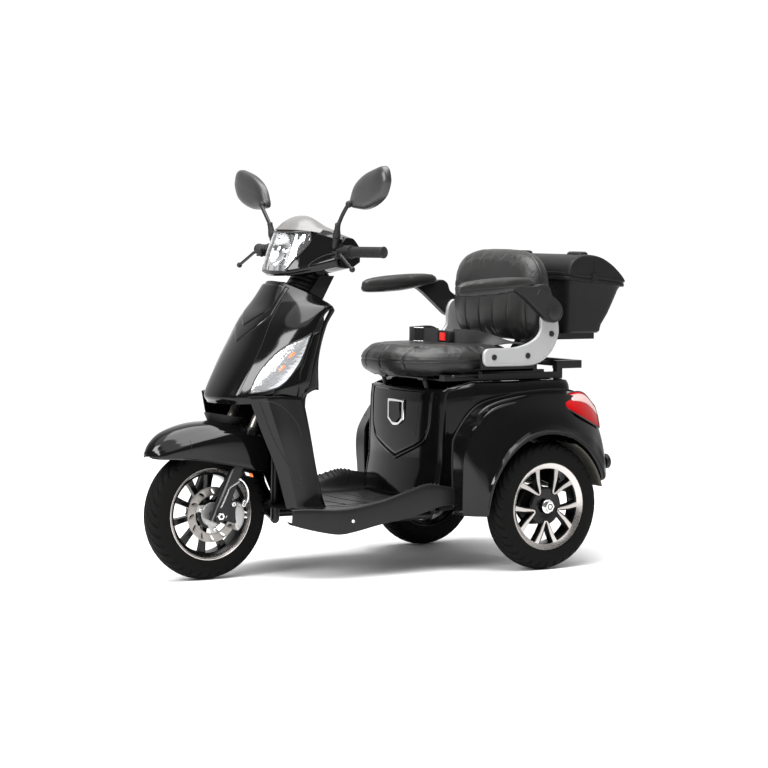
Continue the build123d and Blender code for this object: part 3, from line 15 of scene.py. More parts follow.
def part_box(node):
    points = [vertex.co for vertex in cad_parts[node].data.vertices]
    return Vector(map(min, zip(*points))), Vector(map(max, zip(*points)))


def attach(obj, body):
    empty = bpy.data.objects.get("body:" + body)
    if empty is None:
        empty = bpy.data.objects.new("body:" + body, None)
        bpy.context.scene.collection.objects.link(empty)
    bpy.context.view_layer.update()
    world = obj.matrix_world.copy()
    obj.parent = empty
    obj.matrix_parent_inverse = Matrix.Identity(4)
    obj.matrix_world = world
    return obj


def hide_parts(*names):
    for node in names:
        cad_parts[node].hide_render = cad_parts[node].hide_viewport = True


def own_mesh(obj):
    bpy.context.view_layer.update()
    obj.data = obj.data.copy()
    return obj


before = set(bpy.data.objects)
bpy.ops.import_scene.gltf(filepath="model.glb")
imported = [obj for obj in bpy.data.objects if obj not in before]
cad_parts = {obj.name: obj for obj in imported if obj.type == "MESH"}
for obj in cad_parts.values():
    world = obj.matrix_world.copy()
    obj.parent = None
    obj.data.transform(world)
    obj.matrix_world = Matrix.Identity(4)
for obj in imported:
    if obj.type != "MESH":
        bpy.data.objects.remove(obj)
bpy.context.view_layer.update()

# ---------------------------------------------------------------- sizes
MM = 0.001
TYRE_LOW, TYRE_HIGH = (np.array(c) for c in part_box("front_tyre"))
REAR_LOW, REAR_HIGH = (np.array(c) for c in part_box("rear_tyre_left"))
AXLE = float((TYRE_LOW[2] + TYRE_HIGH[2]) / 2)
FRONT = float((TYRE_LOW[1] + TYRE_HIGH[1]) / 2)
REAR = float((REAR_LOW[1] + REAR_HIGH[1]) / 2)
WHEEL_X = float((REAR_LOW[0] + REAR_HIGH[0]) / 2)
RAKE = math.radians(65)
COLUMN = np.array([0.0, math.cos(RAKE), math.sin(RAKE)])
OFFSET = 0.030  # the steering axis runs this far behind the front axle
COLUMN_FOOT = np.array([0, FRONT, AXLE]) + np.array([0, COLUMN[2], -COLUMN[1]]) * OFFSET


def front(x, dy, dz):
    """A point from millimetres: across, behind and above the front axle."""
    return np.array([x * MM, FRONT + dy * MM, AXLE + dz * MM])


def rear(x, dy, dz):
    """A point from millimetres: across, behind and above the rear axle."""
    return np.array([x * MM, REAR + dy * MM, AXLE + dz * MM])


# ---------------------------------------------------------------- camera and studio
scene = bpy.context.scene


def place_camera():
    """The camera stands off the left front corner, looking a little down,
    with a small roll. Its rows are its right, its up and its back."""
    data = bpy.data.cameras.new("camera")
    data.lens = 107.86
    data.sensor_width = 36
    data.clip_end = 200
    cam = bpy.data.objects.new("camera", data)
    scene.collection.objects.link(cam)
    right, up, back = (0.55437, 0.83220, 0.01229), (-0.06274, 0.02706, 0.9976), (0.8299, -0.5538, 0.0672)
    turn = Matrix((right, up, back)).transposed()
    cam.matrix_world = Matrix.Translation((6.1628, -4.0869, 1.083)) @ turn.to_4x4()
    scene.camera = cam


def soft_light(name, place, aim, size, power, colour=(1, 1, 1)):
    """A square lamp at a place, turned to face its aim."""
    data = bpy.data.lights.new(name, "AREA")
    data.shape = "RECTANGLE"
    data.size, data.size_y = size
    data.energy = power
    data.color = colour
    obj = bpy.data.objects.new(name, data)
    scene.collection.objects.link(obj)
    obj.location = place
    obj.rotation_euler = (Vector(aim) - Vector(place)).to_track_quat("-Z", "Y").to_euler()
    return obj


def studio():
    """A pale room: its wall brightens away from the near side, with a wide sun,
    a lamp overhead, a lamp off the nose and a plain floor."""
    world = bpy.data.worlds.new("studio")
    scene.world = world
    world.use_nodes = True
    nodes, links = world.node_tree.nodes, world.node_tree.links
    back = nodes["Background"]
    place = nodes.new("ShaderNodeTexCoord")
    dot = nodes.new("ShaderNodeVectorMath")
    dot.operation = "DOT_PRODUCT"
    dot.inputs[1].default_value = (-0.83, 0.55, 0.0)
    ramp = nodes.new("ShaderNodeMapRange")
    ramp.interpolation_type = "SMOOTHSTEP"
    ramp.inputs["From Min"].default_value = -0.5
    ramp.inputs["From Max"].default_value = 0.75
    ramp.inputs["To Min"].default_value = WORLD_NEAR
    ramp.inputs["To Max"].default_value = WORLD_FAR
    links.new(place.outputs["Generated"], dot.inputs[0])
    links.new(dot.outputs["Value"], ramp.inputs["Value"])
    links.new(ramp.outputs["Result"], back.inputs["Strength"])
    back.inputs["Color"].default_value = (1, 1, 1, 1)
    data = bpy.data.lights.new("key", "SUN")
    data.energy = 2.1
    data.angle = math.radians(70)
    sun = bpy.data.objects.new("key", data)
    scene.collection.objects.link(sun)
    sun.rotation_euler = (math.radians(12), math.radians(14), 0)
    soft_light("top_box", (0.5, -0.4, 3.4), (0, 0, 0.3), (2.6, 3.4), 210)
    soft_light("nose_box", (1.2, -4.2, 2.6), (0, -0.5, 0.6), (1.4, 1.8), 170)
    scene.view_settings.view_transform = "Standard"
    scene.view_settings.look = "None"
    rows = np.linspace(-30, 30, 3)
    gx, gy = np.meshgrid(rows, rows, indexing="ij")
    floor = bpy.data.meshes.new("floor")
    grid = np.stack([gx, gy, np.full_like(gx, -0.0005)], -1).reshape(-1, 3)
    floor.from_pydata(grid.tolist(), [], quads(3, 3).tolist())
    obj = bpy.data.objects.new("floor", floor)
    scene.collection.objects.link(obj)
    mat, bsdf, _ = principled("studio_floor", base=(0.86, 0.86, 0.86), rough=0.75, fx=None)
    bsdf.inputs["Specular IOR Level"].default_value = 0.1
    floor.materials.append(mat)


WORLD_NEAR, WORLD_FAR = 0.2, 1.05

# ---------------------------------------------------------------- shapes


def weights(count, where, closed=False, sharp=()):
    """Weights that carry control rows to a smooth line through all of them, at
    each row number `where`. Between rows p and q with tangents m and n it is
    (2t3-3t2+1)p + (t3-2t2+t)m + (3t2-2t3)q + (t3-t2)n, where a tangent is half
    the difference of the rows either side, or the plain difference at an end
    or a crease."""
    where = np.asarray(where, float)
    a = np.clip(np.floor(where).astype(int), 0, count - (1 if closed else 2))
    t = (where - a)[:, None]
    b = (a + 1) % count
    eye = np.eye(count)
    end = not closed
    one_a = np.isin(a, sharp) | (end & (a == 0))
    one_b = np.isin(b, sharp) | (end & (b == count - 1))
    plain = eye[b] - eye[a]
    m = np.where(one_a[:, None], plain, (eye[b] - eye[(a - 1) % count]) / 2)
    n = np.where(one_b[:, None], plain, (eye[(b + 1) % count] - eye[a]) / 2)
    return (
        (2 * t**3 - 3 * t**2 + 1) * eye[a]
        + (t**3 - 2 * t**2 + t) * m
        + (3 * t**2 - 2 * t**3) * eye[b]
        + (t**3 - t**2) * n
    )


def basis(count, steps, closed=False, sharp=()):
    """The weights at `steps` even places between each two control rows."""
    spans = count if closed else count - 1
    return weights(count, np.arange(spans * steps + (not closed)) / steps, closed, sharp)


def on_net(points, u, v, lift=0.0, sharp_u=(), sharp_v=()):
    """Points of a net's sheet at any row and column numbers, raised along the
    sheet's own normal, which is the cross product of its two slopes."""
    points = np.asarray(points, float)
    rows, cols = points.shape[:2]
    shape = np.broadcast(u, v).shape
    u, v = (np.broadcast_to(w, shape).ravel() for w in (u, v))

    def place(a, b):
        return np.einsum("ni,ijk,nj->nk", weights(rows, np.clip(a, 0, rows - 1), False, sharp_u), points,
            weights(cols, np.clip(b, 0, cols - 1), False, sharp_v))

    step = 0.04
    du = place(np.minimum(u + step, rows - 1), v) - place(np.maximum(u - step, 0), v)
    dv = place(u, np.minimum(v + step, cols - 1)) - place(u, np.maximum(v - step, 0))
    normal = unit(np.cross(du, dv))
    lift = np.broadcast_to(lift, shape).ravel()[:, None]
    return (place(u, v) + normal * lift).reshape(*shape, 3)


def millimetres(rows, at=front):
    """A net of (across, behind, above) millimetres from an axle, in metres."""
    rows = np.asarray(rows, float)
    base = np.array(at(0, 0, 0))
    return rows * MM + base


def curve(points, steps=8, closed=False, sharp=()):
    """A smooth line through the points, with `steps` places between each two."""
    points = np.asarray(points, float)
    return basis(len(points), steps, closed, sharp) @ points


def net(points, u=6, v=6, sharp_u=(), sharp_v=(), closed_u=False, closed_v=False):
    """A smooth sheet through a net of points, creased along the named rows."""
    points = np.asarray(points, float)
    return np.einsum(
        "ai,ijk,bj->abk",
        basis(points.shape[0], u, closed_u, sharp_u),
        points,
        basis(points.shape[1], v, closed_v, sharp_v),
    )


def quads(rows, cols, closed_u=False, closed_v=False):
    """The four-sided faces of a grid, joined round where it is closed."""
    i, j = np.meshgrid(np.arange(rows - (not closed_u)), np.arange(cols - (not closed_v)), indexing="ij")
    k, m = (i + 1) % rows, (j + 1) % cols
    return np.stack([i * cols + j, k * cols + j, k * cols + m, i * cols + m], -1).reshape(-1, 4)


def unit(v):
    """Vectors at length one, along the last axis."""
    v = np.asarray(v, float)
    return v / np.linalg.norm(v, axis=-1, keepdims=True)


def across(half):
    """A net's rows run out from the middle plane: the other half is added."""
    half = np.asarray(half, float)
    return np.concatenate([half[:, :0:-1] * [-1, 1, 1], half], 1)


def mirrored(points, side):
    """The points, with their first value turned over on the right-hand side."""
    return np.asarray(points, float) * [side, 1, 1]


def build(name, verts, faces, mat, body, crisp=38, inside=None, solid=False, uv=None, of=(), slot=None, thick=0,
    bevel=0):
    """One finished piece from its points and faces. `inside` is a point its
    faces look away from; `solid` closes doubles and turns every face out."""
    mesh = bpy.data.meshes.new(name)
    mesh.from_pydata(np.asarray(verts, float).reshape(-1, 3).tolist(), [], [list(map(int, f)) for f in faces])
    if uv is not None:
        layer = mesh.uv_layers.new(name="UVMap")
        loops = np.empty(len(mesh.loops), dtype=np.int32)
        mesh.loops.foreach_get("vertex_index", loops)
        layer.data.foreach_set("uv", np.asarray(uv, float).reshape(-1, 2)[loops].ravel())
    if solid or inside is None:
        work = bmesh.new()
        work.from_mesh(mesh)
        bmesh.ops.remove_doubles(work, verts=work.verts, dist=1e-6)
        bmesh.ops.dissolve_degenerate(work, edges=work.edges, dist=1e-7)
        bmesh.ops.recalc_face_normals(work, faces=work.faces)
        work.to_mesh(mesh)
        work.free()
    if inside is not None:
        count = len(mesh.polygons)
        centre, normal = np.empty(count * 3), np.empty(count * 3)
        size = np.empty(count)
        mesh.polygons.foreach_get("center", centre)
        mesh.polygons.foreach_get("normal", normal)
        mesh.polygons.foreach_get("area", size)
        away = ((centre.reshape(-1, 3) - inside) * normal.reshape(-1, 3)).sum(1) * size
        if away.sum() < 0:
            mesh.flip_normals()
    mesh.shade_smooth()
    mesh.set_sharp_from_angle(angle=math.radians(crisp))
    mesh.update()
    obj = bpy.data.objects.new(name, mesh)
    scene.collection.objects.link(obj)
    mesh.materials.append(MATERIALS[mat] if isinstance(mat, str) else mat)
    if thick:
        wall = obj.modifiers.new("wall", "SOLIDIFY")
        wall.thickness, wall.offset = abs(thick), -1 if thick > 0 else 1
        wall.use_even_offset = False
    if bevel:
        edge = obj.modifiers.new("edge", "BEVEL")
        edge.width, edge.segments, edge.limit_method, edge.angle_limit = bevel, 2, "ANGLE", math.radians(35)
        edge.harden_normals = False
    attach(obj, body)
    if of:
        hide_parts(*of)
    return obj


def sheet(name, grid, mat, body, closed_u=False, closed_v=False, **more):
    """A piece whose points are a grid."""
    grid = np.asarray(grid, float)
    rows, cols = grid.shape[:2]
    return build(name, grid, quads(rows, cols, closed_u, closed_v), mat, body, **more)


def capped(grid):
    """Points and faces of a closed tube of rings with a flat face at each end."""
    rows, cols = grid.shape[:2]
    faces = quads(rows, cols, False, True).tolist()
    faces += [list(range(cols)), list(range((rows - 1) * cols, rows * cols))]
    return grid, faces


def rings(path, radius, sides=16):
    """Circles across a line: each turned square to it about the way the line
    travels least."""
    path = np.asarray(path, float)
    t = unit(np.gradient(path, axis=0))
    ref = np.linalg.svd(t, full_matrices=True)[2][2]
    n = unit(np.cross(t, ref))
    b = np.cross(t, n)
    a = np.linspace(0, 2 * np.pi, sides, endpoint=False)[None, :, None]
    radius = np.broadcast_to(np.asarray(radius, float), (len(path),))[:, None, None]
    return path[:, None] + radius * (np.cos(a) * n[:, None] + np.sin(a) * b[:, None])


def tube(name, path, radius, mat, body, sides=16, **more):
    """A round bar: circles of the radius across a line, with flat ends."""
    more.setdefault("solid", True)
    verts, faces = capped(rings(path, radius, sides))
    return build(name, verts, faces, mat, body, **more)


def about(axis):
    """Two directions square to an axis, and the axis."""
    axis = unit(axis)
    side = unit(np.cross(axis, (0, 0, 1) if abs(axis[2]) < 0.9 else (0, 1, 0)))
    return side, np.cross(axis, side), axis


def turned(profile, origin, axis, segments=96):
    """Every (radius, height) of a profile swept round an axis."""
    s, c, d = about(axis)
    a = np.linspace(0, 2 * np.pi, segments, endpoint=False)[:, None, None]
    p = np.asarray(profile, float)[None]
    return np.asarray(origin) + p[..., :1] * (np.cos(a) * s + np.sin(a) * c) + p[..., 1:] * d


def lathe(name, profile, origin, axis, mat, body, segments=96, closed=False, **more):
    """A piece of revolution: the profile swept round an axis from its origin."""
    more.setdefault("solid", True)
    return sheet(name, turned(profile, origin, axis, segments), mat, body, True, closed, **more)


def plate(name, outline, through, mat, body, **more):
    """A flat outline of points carried straight through by a vector."""
    low = np.asarray(outline, float)
    n = len(low)
    i = np.arange(n)
    j = (i + 1) % n
    faces = [list(i), list(i + n)] + np.stack([i, j, j + n, i + n], -1).tolist()
    more.setdefault("solid", True)
    more.setdefault("bevel", 0.0012)
    return build(name, np.concatenate([low, low + through]), faces, mat, body, **more)


def many(name, single, places, mat, body, **more):
    """Copies of one shape, (points, faces), each at an origin along an axis."""
    points, faces = np.asarray(single[0], float), single[1]
    frames = np.array([about(a) for _, a in places])
    origins = np.array([o for o, _ in places])
    verts = origins[:, None] + np.einsum("pk,nkd->npd", points, frames)
    all_faces = [[v + i * len(points) for v in f] for i in range(len(places)) for f in faces]
    more.setdefault("solid", True)
    return build(name, verts, all_faces, mat, body, **more)


def head(radius, height, sides=6, dome=0.25):
    """A bolt head: a prism of `sides` with a chamfered top and a small recess."""
    rows = np.array([(radius, 0), (radius, height * (1 - dome)), (radius * 0.86, height), (radius * 0.45, height),
        (radius * 0.4, height * 0.45)])
    a = np.linspace(0, 2 * np.pi, sides, endpoint=False)
    grid = np.stack([rows[:, :1] * np.cos(a), rows[:, :1] * np.sin(a), np.broadcast_to(rows[:, 1:], (5, sides))],
        -1)
    verts, faces = capped(grid)
    return verts.reshape(-1, 3), faces


# ---------------------------------------------------------------- finishes
MATERIALS = {}


def effect(name, inputs, outputs):
    """An empty shared effect: inputs are (name, default) and outputs (name, kind)."""
    group = bpy.data.node_groups.new(name, "ShaderNodeTree")
    for label, default in inputs:
        socket = group.interface.new_socket(label, in_out="INPUT", socket_type="NodeSocketFloat")
        socket.default_value = default
    for label, kind in outputs:
        group.interface.new_socket(label, in_out="OUTPUT", socket_type=kind)
    return group, group.nodes.new("NodeGroupInput"), group.nodes.new("NodeGroupOutput")


def make_effects():
    """The shared effects. Each gives only a bump normal and a slow cloud."""
    value, normal = "NodeSocketFloat", "NodeSocketVector"
    # grain: fine noise as a bump, and a slow cloud for gloss changes
    group, start, end = effect("grain", [("Scale", 400), ("Strength", 0.2), ("Distance", 0.0004)],
        [("Normal", normal), ("Cloud", value)])
    nodes, link = group.nodes, group.links.new
    where = nodes.new("ShaderNodeTexCoord")
    fine, slow, bump = (nodes.new("ShaderNode" + k) for k in ("TexNoise", "TexNoise", "Bump"))
    fine.inputs["Detail"].default_value = 3
    slow.inputs["Scale"].default_value = 7
    link(where.outputs["Object"], fine.inputs["Vector"])
    link(where.outputs["Object"], slow.inputs["Vector"])
    link(start.outputs["Scale"], fine.inputs["Scale"])
    link(start.outputs["Strength"], bump.inputs["Strength"])
    link(start.outputs["Distance"], bump.inputs["Distance"])
    link(fine.outputs["Fac"], bump.inputs["Height"])
    link(bump.outputs["Normal"], end.inputs["Normal"])
    link(slow.outputs["Fac"], end.inputs["Cloud"])
    # pebble: the closed cells of embossed vinyl
    group, start, end = effect("pebble", [("Scale", 900), ("Strength", 0.3), ("Distance", 0.0004)],
        [("Normal", normal), ("Cloud", value)])
    nodes, link = group.nodes, group.links.new
    where = nodes.new("ShaderNodeTexCoord")
    cell, slow, bump = (nodes.new("ShaderNode" + k) for k in ("TexVoronoi", "TexNoise", "Bump"))
    cell.feature = "SMOOTH_F1"
    slow.inputs["Scale"].default_value = 14
    link(where.outputs["Object"], cell.inputs["Vector"])
    link(where.outputs["Object"], slow.inputs["Vector"])
    link(start.outputs["Scale"], cell.inputs["Scale"])
    link(start.outputs["Strength"], bump.inputs["Strength"])
    link(start.outputs["Distance"], bump.inputs["Distance"])
    link(cell.outputs["Distance"], bump.inputs["Height"])
    link(bump.outputs["Normal"], end.inputs["Normal"])
    link(slow.outputs["Fac"], end.inputs["Cloud"])
    # weave: crossed threads read from the strap's own UV
    group, start, end = effect("weave", [("Threads", 60), ("Strength", 0.6), ("Distance", 0.0005)],
        [("Normal", normal), ("Cloud", value)])
    nodes, link = group.nodes, group.links.new
    where = nodes.new("ShaderNodeTexCoord")
    across_, along, both, bump = (nodes.new(k) for k in ("ShaderNodeTexWave", "ShaderNodeTexWave", "ShaderNodeMath",
        "ShaderNodeBump"))
    across_.bands_direction, along.bands_direction = "X", "DIAGONAL"
    both.operation = "MULTIPLY"
    for wave in (across_, along):
        link(where.outputs["UV"], wave.inputs["Vector"])
        link(start.outputs["Threads"], wave.inputs["Scale"])
    link(across_.outputs["Fac"], both.inputs[0])
    link(along.outputs["Fac"], both.inputs[1])
    link(both.outputs["Value"], bump.inputs["Height"])
    link(start.outputs["Strength"], bump.inputs["Strength"])
    link(start.outputs["Distance"], bump.inputs["Distance"])
    link(bump.outputs["Normal"], end.inputs["Normal"])
    link(both.outputs["Value"], end.inputs["Cloud"])
    # brushed: long thin noise for machined and rolled metal
    group, start, end = effect("brushed", [("Scale", 60), ("Strength", 0.12), ("Distance", 0.0003)],
        [("Normal", normal), ("Cloud", value)])
    nodes, link = group.nodes, group.links.new
    where = nodes.new("ShaderNodeTexCoord")
    stretch, fine, bump = (nodes.new("ShaderNode" + k) for k in ("Mapping", "TexNoise", "Bump"))
    stretch.inputs["Scale"].default_value = (1, 1, 26)
    fine.inputs["Detail"].default_value = 4
    link(where.outputs["Object"], stretch.inputs["Vector"])
    link(stretch.outputs["Vector"], fine.inputs["Vector"])
    link(start.outputs["Scale"], fine.inputs["Scale"])
    link(start.outputs["Strength"], bump.inputs["Strength"])
    link(start.outputs["Distance"], bump.inputs["Distance"])
    link(fine.outputs["Fac"], bump.inputs["Height"])
    link(bump.outputs["Normal"], end.inputs["Normal"])
    link(fine.outputs["Fac"], end.inputs["Cloud"])


def principled(name, base, rough=0.5, metal=0.0, coat=0.0, coat_rough=0.05, clear=0.0, ior=1.5, fx="grain",
    scale=400, strength=0.2, distance=0.0004, spread=0.0, tint=0.0, spec=0.5, glow=0.0):
    """One finish: a plain shader with a shared effect for its bump, and the
    effect's cloud spreading its roughness and its colour a little."""
    mat = bpy.data.materials.new(name)
    mat.use_nodes = True
    nodes, link = mat.node_tree.nodes, mat.node_tree.links.new
    bsdf = nodes["Principled BSDF"]
    bsdf.inputs["Base Color"].default_value = (*base, 1)
    bsdf.inputs["Roughness"].default_value = rough
    bsdf.inputs["Metallic"].default_value = metal
    bsdf.inputs["Coat Weight"].default_value = coat
    bsdf.inputs["Coat Roughness"].default_value = coat_rough
    bsdf.inputs["Transmission Weight"].default_value = clear
    bsdf.inputs["IOR"].default_value = ior
    bsdf.inputs["Specular IOR Level"].default_value = spec
    if glow:
        bsdf.inputs["Emission Color"].default_value = (*base, 1)
        bsdf.inputs["Emission Strength"].default_value = glow
    if fx:
        shared = nodes.new("ShaderNodeGroup")
        shared.node_tree = bpy.data.node_groups[fx]
        shared.inputs[0].default_value = scale
        shared.inputs["Strength"].default_value = strength
        shared.inputs["Distance"].default_value = distance
        link(shared.outputs["Normal"], bsdf.inputs["Normal"])
        if spread:
            range_ = nodes.new("ShaderNodeMapRange")
            range_.inputs["From Min"].default_value, range_.inputs["From Max"].default_value = 0.3, 0.7
            range_.inputs["To Min"].default_value = max(rough - spread, 0.0)
            range_.inputs["To Max"].default_value = rough + spread
            link(shared.outputs["Cloud"], range_.inputs["Value"])
            link(range_.outputs["Result"], bsdf.inputs["Roughness"])
        if tint:
            mix = nodes.new("ShaderNodeMix")
            mix.data_type = "RGBA"
            mix.inputs["A"].default_value = (*base, 1)
            mix.inputs["B"].default_value = (*(min(1.0, c * (1 + tint)) for c in base), 1)
            link(shared.outputs["Cloud"], mix.inputs["Factor"])
            link(mix.outputs["Result"], bsdf.inputs["Base Color"])
    MATERIALS[name] = mat
    return mat, bsdf, shared if fx else None


def make_finishes():
    """Every finish of the machine, by name."""
    black = (0.0022, 0.0021, 0.0022)
    principled("gloss_black", black, 0.1, coat=0.13, coat_rough=0.02, spec=0.19, scale=30, strength=0.02,
        distance=0.0006, spread=0.03, tint=0.3)
    principled("matt_black", (0.006, 0.006, 0.006), 0.5, spec=0.3, scale=900, strength=0.25, distance=0.0003,
        spread=0.06, tint=0.3)
    principled("dark_grey", (0.0062, 0.006, 0.0063), 0.5, spec=0.18, fx="pebble", scale=650, strength=0.35,
        distance=0.0005, spread=0.05, tint=0.25)
    principled("black_steel", (0.0036, 0.0036, 0.0038), 0.34, spec=0.3, scale=260, strength=0.1, distance=0.0004,
        spread=0.07, tint=0.3)
    principled("silver_paint", (0.34, 0.34, 0.345), 0.42, metal=0.3, scale=700, strength=0.08, spread=0.04,
        tint=0.1)
    principled("steel", (0.26, 0.245, 0.23), 0.4, metal=1, fx="brushed", scale=70, strength=0.08, spread=0.08,
        tint=0.15)
    principled("zinc", (0.62, 0.63, 0.62), 0.22, metal=1, scale=220, strength=0.06, spread=0.06, tint=0.15)
    principled("chrome", (0.66, 0.66, 0.67), 0.05, metal=1, scale=20, strength=0.01, spread=0.02)
    principled("aluminium", (0.36, 0.355, 0.35), 0.42, metal=0.85, scale=500, strength=0.22, spread=0.08, tint=0.25)
    principled("machined", (0.44, 0.415, 0.4), 0.26, metal=1, fx="brushed", scale=90, strength=0.1, spread=0.07,
        tint=0.15)
    principled("alloy_black", (0.0022, 0.0022, 0.0022), 0.26, coat=0.08, coat_rough=0.06, spec=0.2, scale=120,
        strength=0.05, spread=0.05, tint=0.3)
    principled("tyre", (0.003, 0.0028, 0.0027), 0.7, spec=0.08, scale=650, strength=0.3, distance=0.0004,
        spread=0.08, tint=0.5)
    principled("rubber", (0.005, 0.005, 0.005), 0.55, spec=0.3, scale=800, strength=0.3, distance=0.0003,
        spread=0.06, tint=0.4)
    principled("vinyl", (0.0105, 0.0101, 0.0098), 0.42, fx="pebble", scale=750, strength=0.3, distance=0.0004,
        spread=0.07, tint=0.35, spec=0.35)
    principled("webbing", (0.011, 0.011, 0.0115), 0.62, fx="weave", scale=9, strength=0.5, distance=0.0006,
        tint=0.6)
    principled("clear", (0.97, 0.98, 0.98), 0.02, clear=1, ior=1.3, scale=40, strength=0.02)
    principled("smoke", (0.15, 0.145, 0.14), 0.3, clear=0.3, ior=1.45, scale=30, strength=0.02)
    principled("reflector", (0.74, 0.74, 0.75), 0.12, metal=1, fx="pebble", scale=150, strength=0.5,
        distance=0.0016, spread=0.05)
    principled("lens_ribbed", (0.95, 0.96, 0.97), 0.04, clear=0.92, ior=1.25, fx="pebble", scale=220, strength=0.2,
        distance=0.0008)
    principled("floor_plastic", (0.006, 0.006, 0.006), 0.4, scale=500, strength=0.2, distance=0.0004, spread=0.06,
        tint=0.4, spec=0.2)
    principled("arm_plastic", (0.0075, 0.0073, 0.0073), 0.5, scale=700, strength=0.25, distance=0.0003, spread=0.06,
        tint=0.35, spec=0.3)
    # red_lamp has a small emission. On the tail lamp it is the lamp's glow; on the reflector disc, which shares
    # this finish, it is painted glow.
    principled("red_lamp", (0.26, 0.0006, 0.0014), 0.16, coat=0.06, coat_rough=0.02, spec=0.2, scale=300,
        strength=0.05, spread=0.03, tint=0.3, glow=0.06)
    principled("pale_lamp", (0.45, 0.27, 0.26), 0.14, coat=0.3, coat_rough=0.02, scale=260, strength=0.1,
        spread=0.04, tint=0.4)
    principled("red_plastic", (0.72, 0.012, 0.008), 0.35, scale=600, strength=0.1, spread=0.05, tint=0.2)
    principled("amber", (0.8, 0.16, 0.015), 0.2, coat=0.6, scale=400, strength=0.1, spread=0.05, tint=0.3)
    principled("mirror", (0.86, 0.87, 0.88), 0.02, metal=1, scale=12, strength=0.004)
    principled("mirror_back", (0.012, 0.012, 0.0125), 0.34, scale=700, strength=0.12, spread=0.05, tint=0.3)
    principled("brass", (0.6, 0.42, 0.16), 0.3, metal=1, fx="brushed", scale=80, strength=0.1, spread=0.06,
        tint=0.2)
    principled("guard", (0.03, 0.028, 0.02), 0.6, scale=500, strength=0.3, spread=0.06, tint=0.5)
    principled("decal_black", (0.004, 0.004, 0.004), 0.35, scale=600, strength=0.08, spread=0.05, tint=0.3)


make_effects()
make_finishes()
place_camera()
studio()

# ---------------------------------------------------------------- tyres and wheels
X_AXIS = np.array([1.0, 0.0, 0.0])


def section(half, sharp=(), steps=5):
    """A tyre's section from one bead over the crown to the other."""
    half = np.asarray(half, float)
    full = np.concatenate([half, half[-2::-1] * [1, -1]])
    return curve(full, steps, sharp=sharp)


def tyre(name, centre, body, cad):
    """A section swept round the axle. A groove pushes it in by depth times a
    smooth pulse of the angle, slanted with the distance from the crown, and
    only over the tread and the shoulder."""
    half = [(139.5, -33), (141.5, -37.5), (147, -39.4), (152, -39.2), (154, -40), (166, -40), (178, -39),
        (188, -36), (196, -29.5), (201.5, -18), (204, 0)]
    sec = section(half, sharp=(0, 20)) * MM
    turns = 432
    a = np.linspace(0, 2 * np.pi, turns, endpoint=False)[:, None]
    r, x = sec[None, :, 0], sec[None, :, 1]
    out = np.clip(np.abs(x) / 0.04, 0, 1)
    pitch = 36
    phase = (pitch * a / (2 * np.pi) - 1.9 * out + 0.25 * np.sign(x)) % 1.0
    second = (pitch * a / (2 * np.pi) - 1.2 * out + 0.75) % 1.0
    pulse = np.clip(1 - np.abs(phase - 0.5) / 0.13, 0, 1) ** 0.6 * (out > 0.16) * (r > 0.186)
    pulse += 0.8 * np.clip(1 - np.abs(second - 0.5) / 0.1, 0, 1) ** 0.6 * (out > 0.6) * (r > 0.178)
    ring = np.clip(1 - np.abs(np.abs(x) - 0.0062) / 0.0016, 0, 1) ** 0.5
    depth = 0.0042 * np.clip(pulse, 0, 1) + 0.0032 * ring * (r > 0.19)
    normal_r, normal_x = np.gradient(sec[:, 1]), -np.gradient(sec[:, 0])
    size = np.hypot(normal_r, normal_x)
    normal_r, normal_x = normal_r / size, normal_x / size
    rr = r - depth * np.abs(normal_r)
    xx = x - depth * np.sign(x) * np.abs(normal_x)
    grid = np.stack([np.broadcast_to(xx, rr.shape), -rr * np.sin(a), rr * np.cos(a)], -1) + centre
    sheet(name, grid, "tyre", body, True, True, solid=True, crisp=50, of=(cad,), slot="tyre")


def spokes(name, groups, mat, body, axis=X_AXIS, **more):
    """Flat bars along centrelines in a wheel's plane. A bar's corners stand its
    half width to each side of the line and its half depth along the axle."""
    verts, faces = [], []
    for path, width, low, high in groups:
        path = np.asarray(path, float)
        side = unit(np.cross(np.gradient(path, axis=0), axis))
        w = np.asarray(width, float)[:, None]
        corners = np.stack([path + side * w + axis * low, path - side * w + axis * low,
            path - side * w * 0.86 + axis * high, path + side * w * 0.86 + axis * high], 1)
        grid, part = capped(corners)
        base = sum(len(v) for v in verts)
        verts.append(grid.reshape(-1, 3))
        faces += [[i + base for i in f] for f in part]
    return build(name, np.concatenate(verts), faces, mat, body, solid=True, bevel=0.0009, **more)


def polar(centre, radius, degrees):
    """Places in a wheel's plane: a radius and an angle from straight back."""
    a = np.radians(degrees)
    radius = np.broadcast_to(np.asarray(radius, float), np.shape(a))
    return np.stack([np.zeros_like(a) + centre[0], centre[1] + radius * MM * np.cos(a),
        centre[2] + radius * MM * np.sin(a)], -1)


def rim_barrel(name, centre, body, **more):
    """The well between the beads, and its two flanges: one closed section."""
    pro = [(141, -36), (143, -37.5), (141, -39), (137, -38), (135, -33), (131, -28), (121, -22), (118, 0),
        (121, 22), (131, 28), (135, 33), (137, 38), (141, 39), (143, 37.5), (141, 36), (136, 28), (125, 18),
        (122.5, 0), (125, -18), (136, -28)]
    return lathe(name, np.array(pro) * MM, centre, X_AXIS, "alloy_black", body, closed=True, crisp=30, **more)


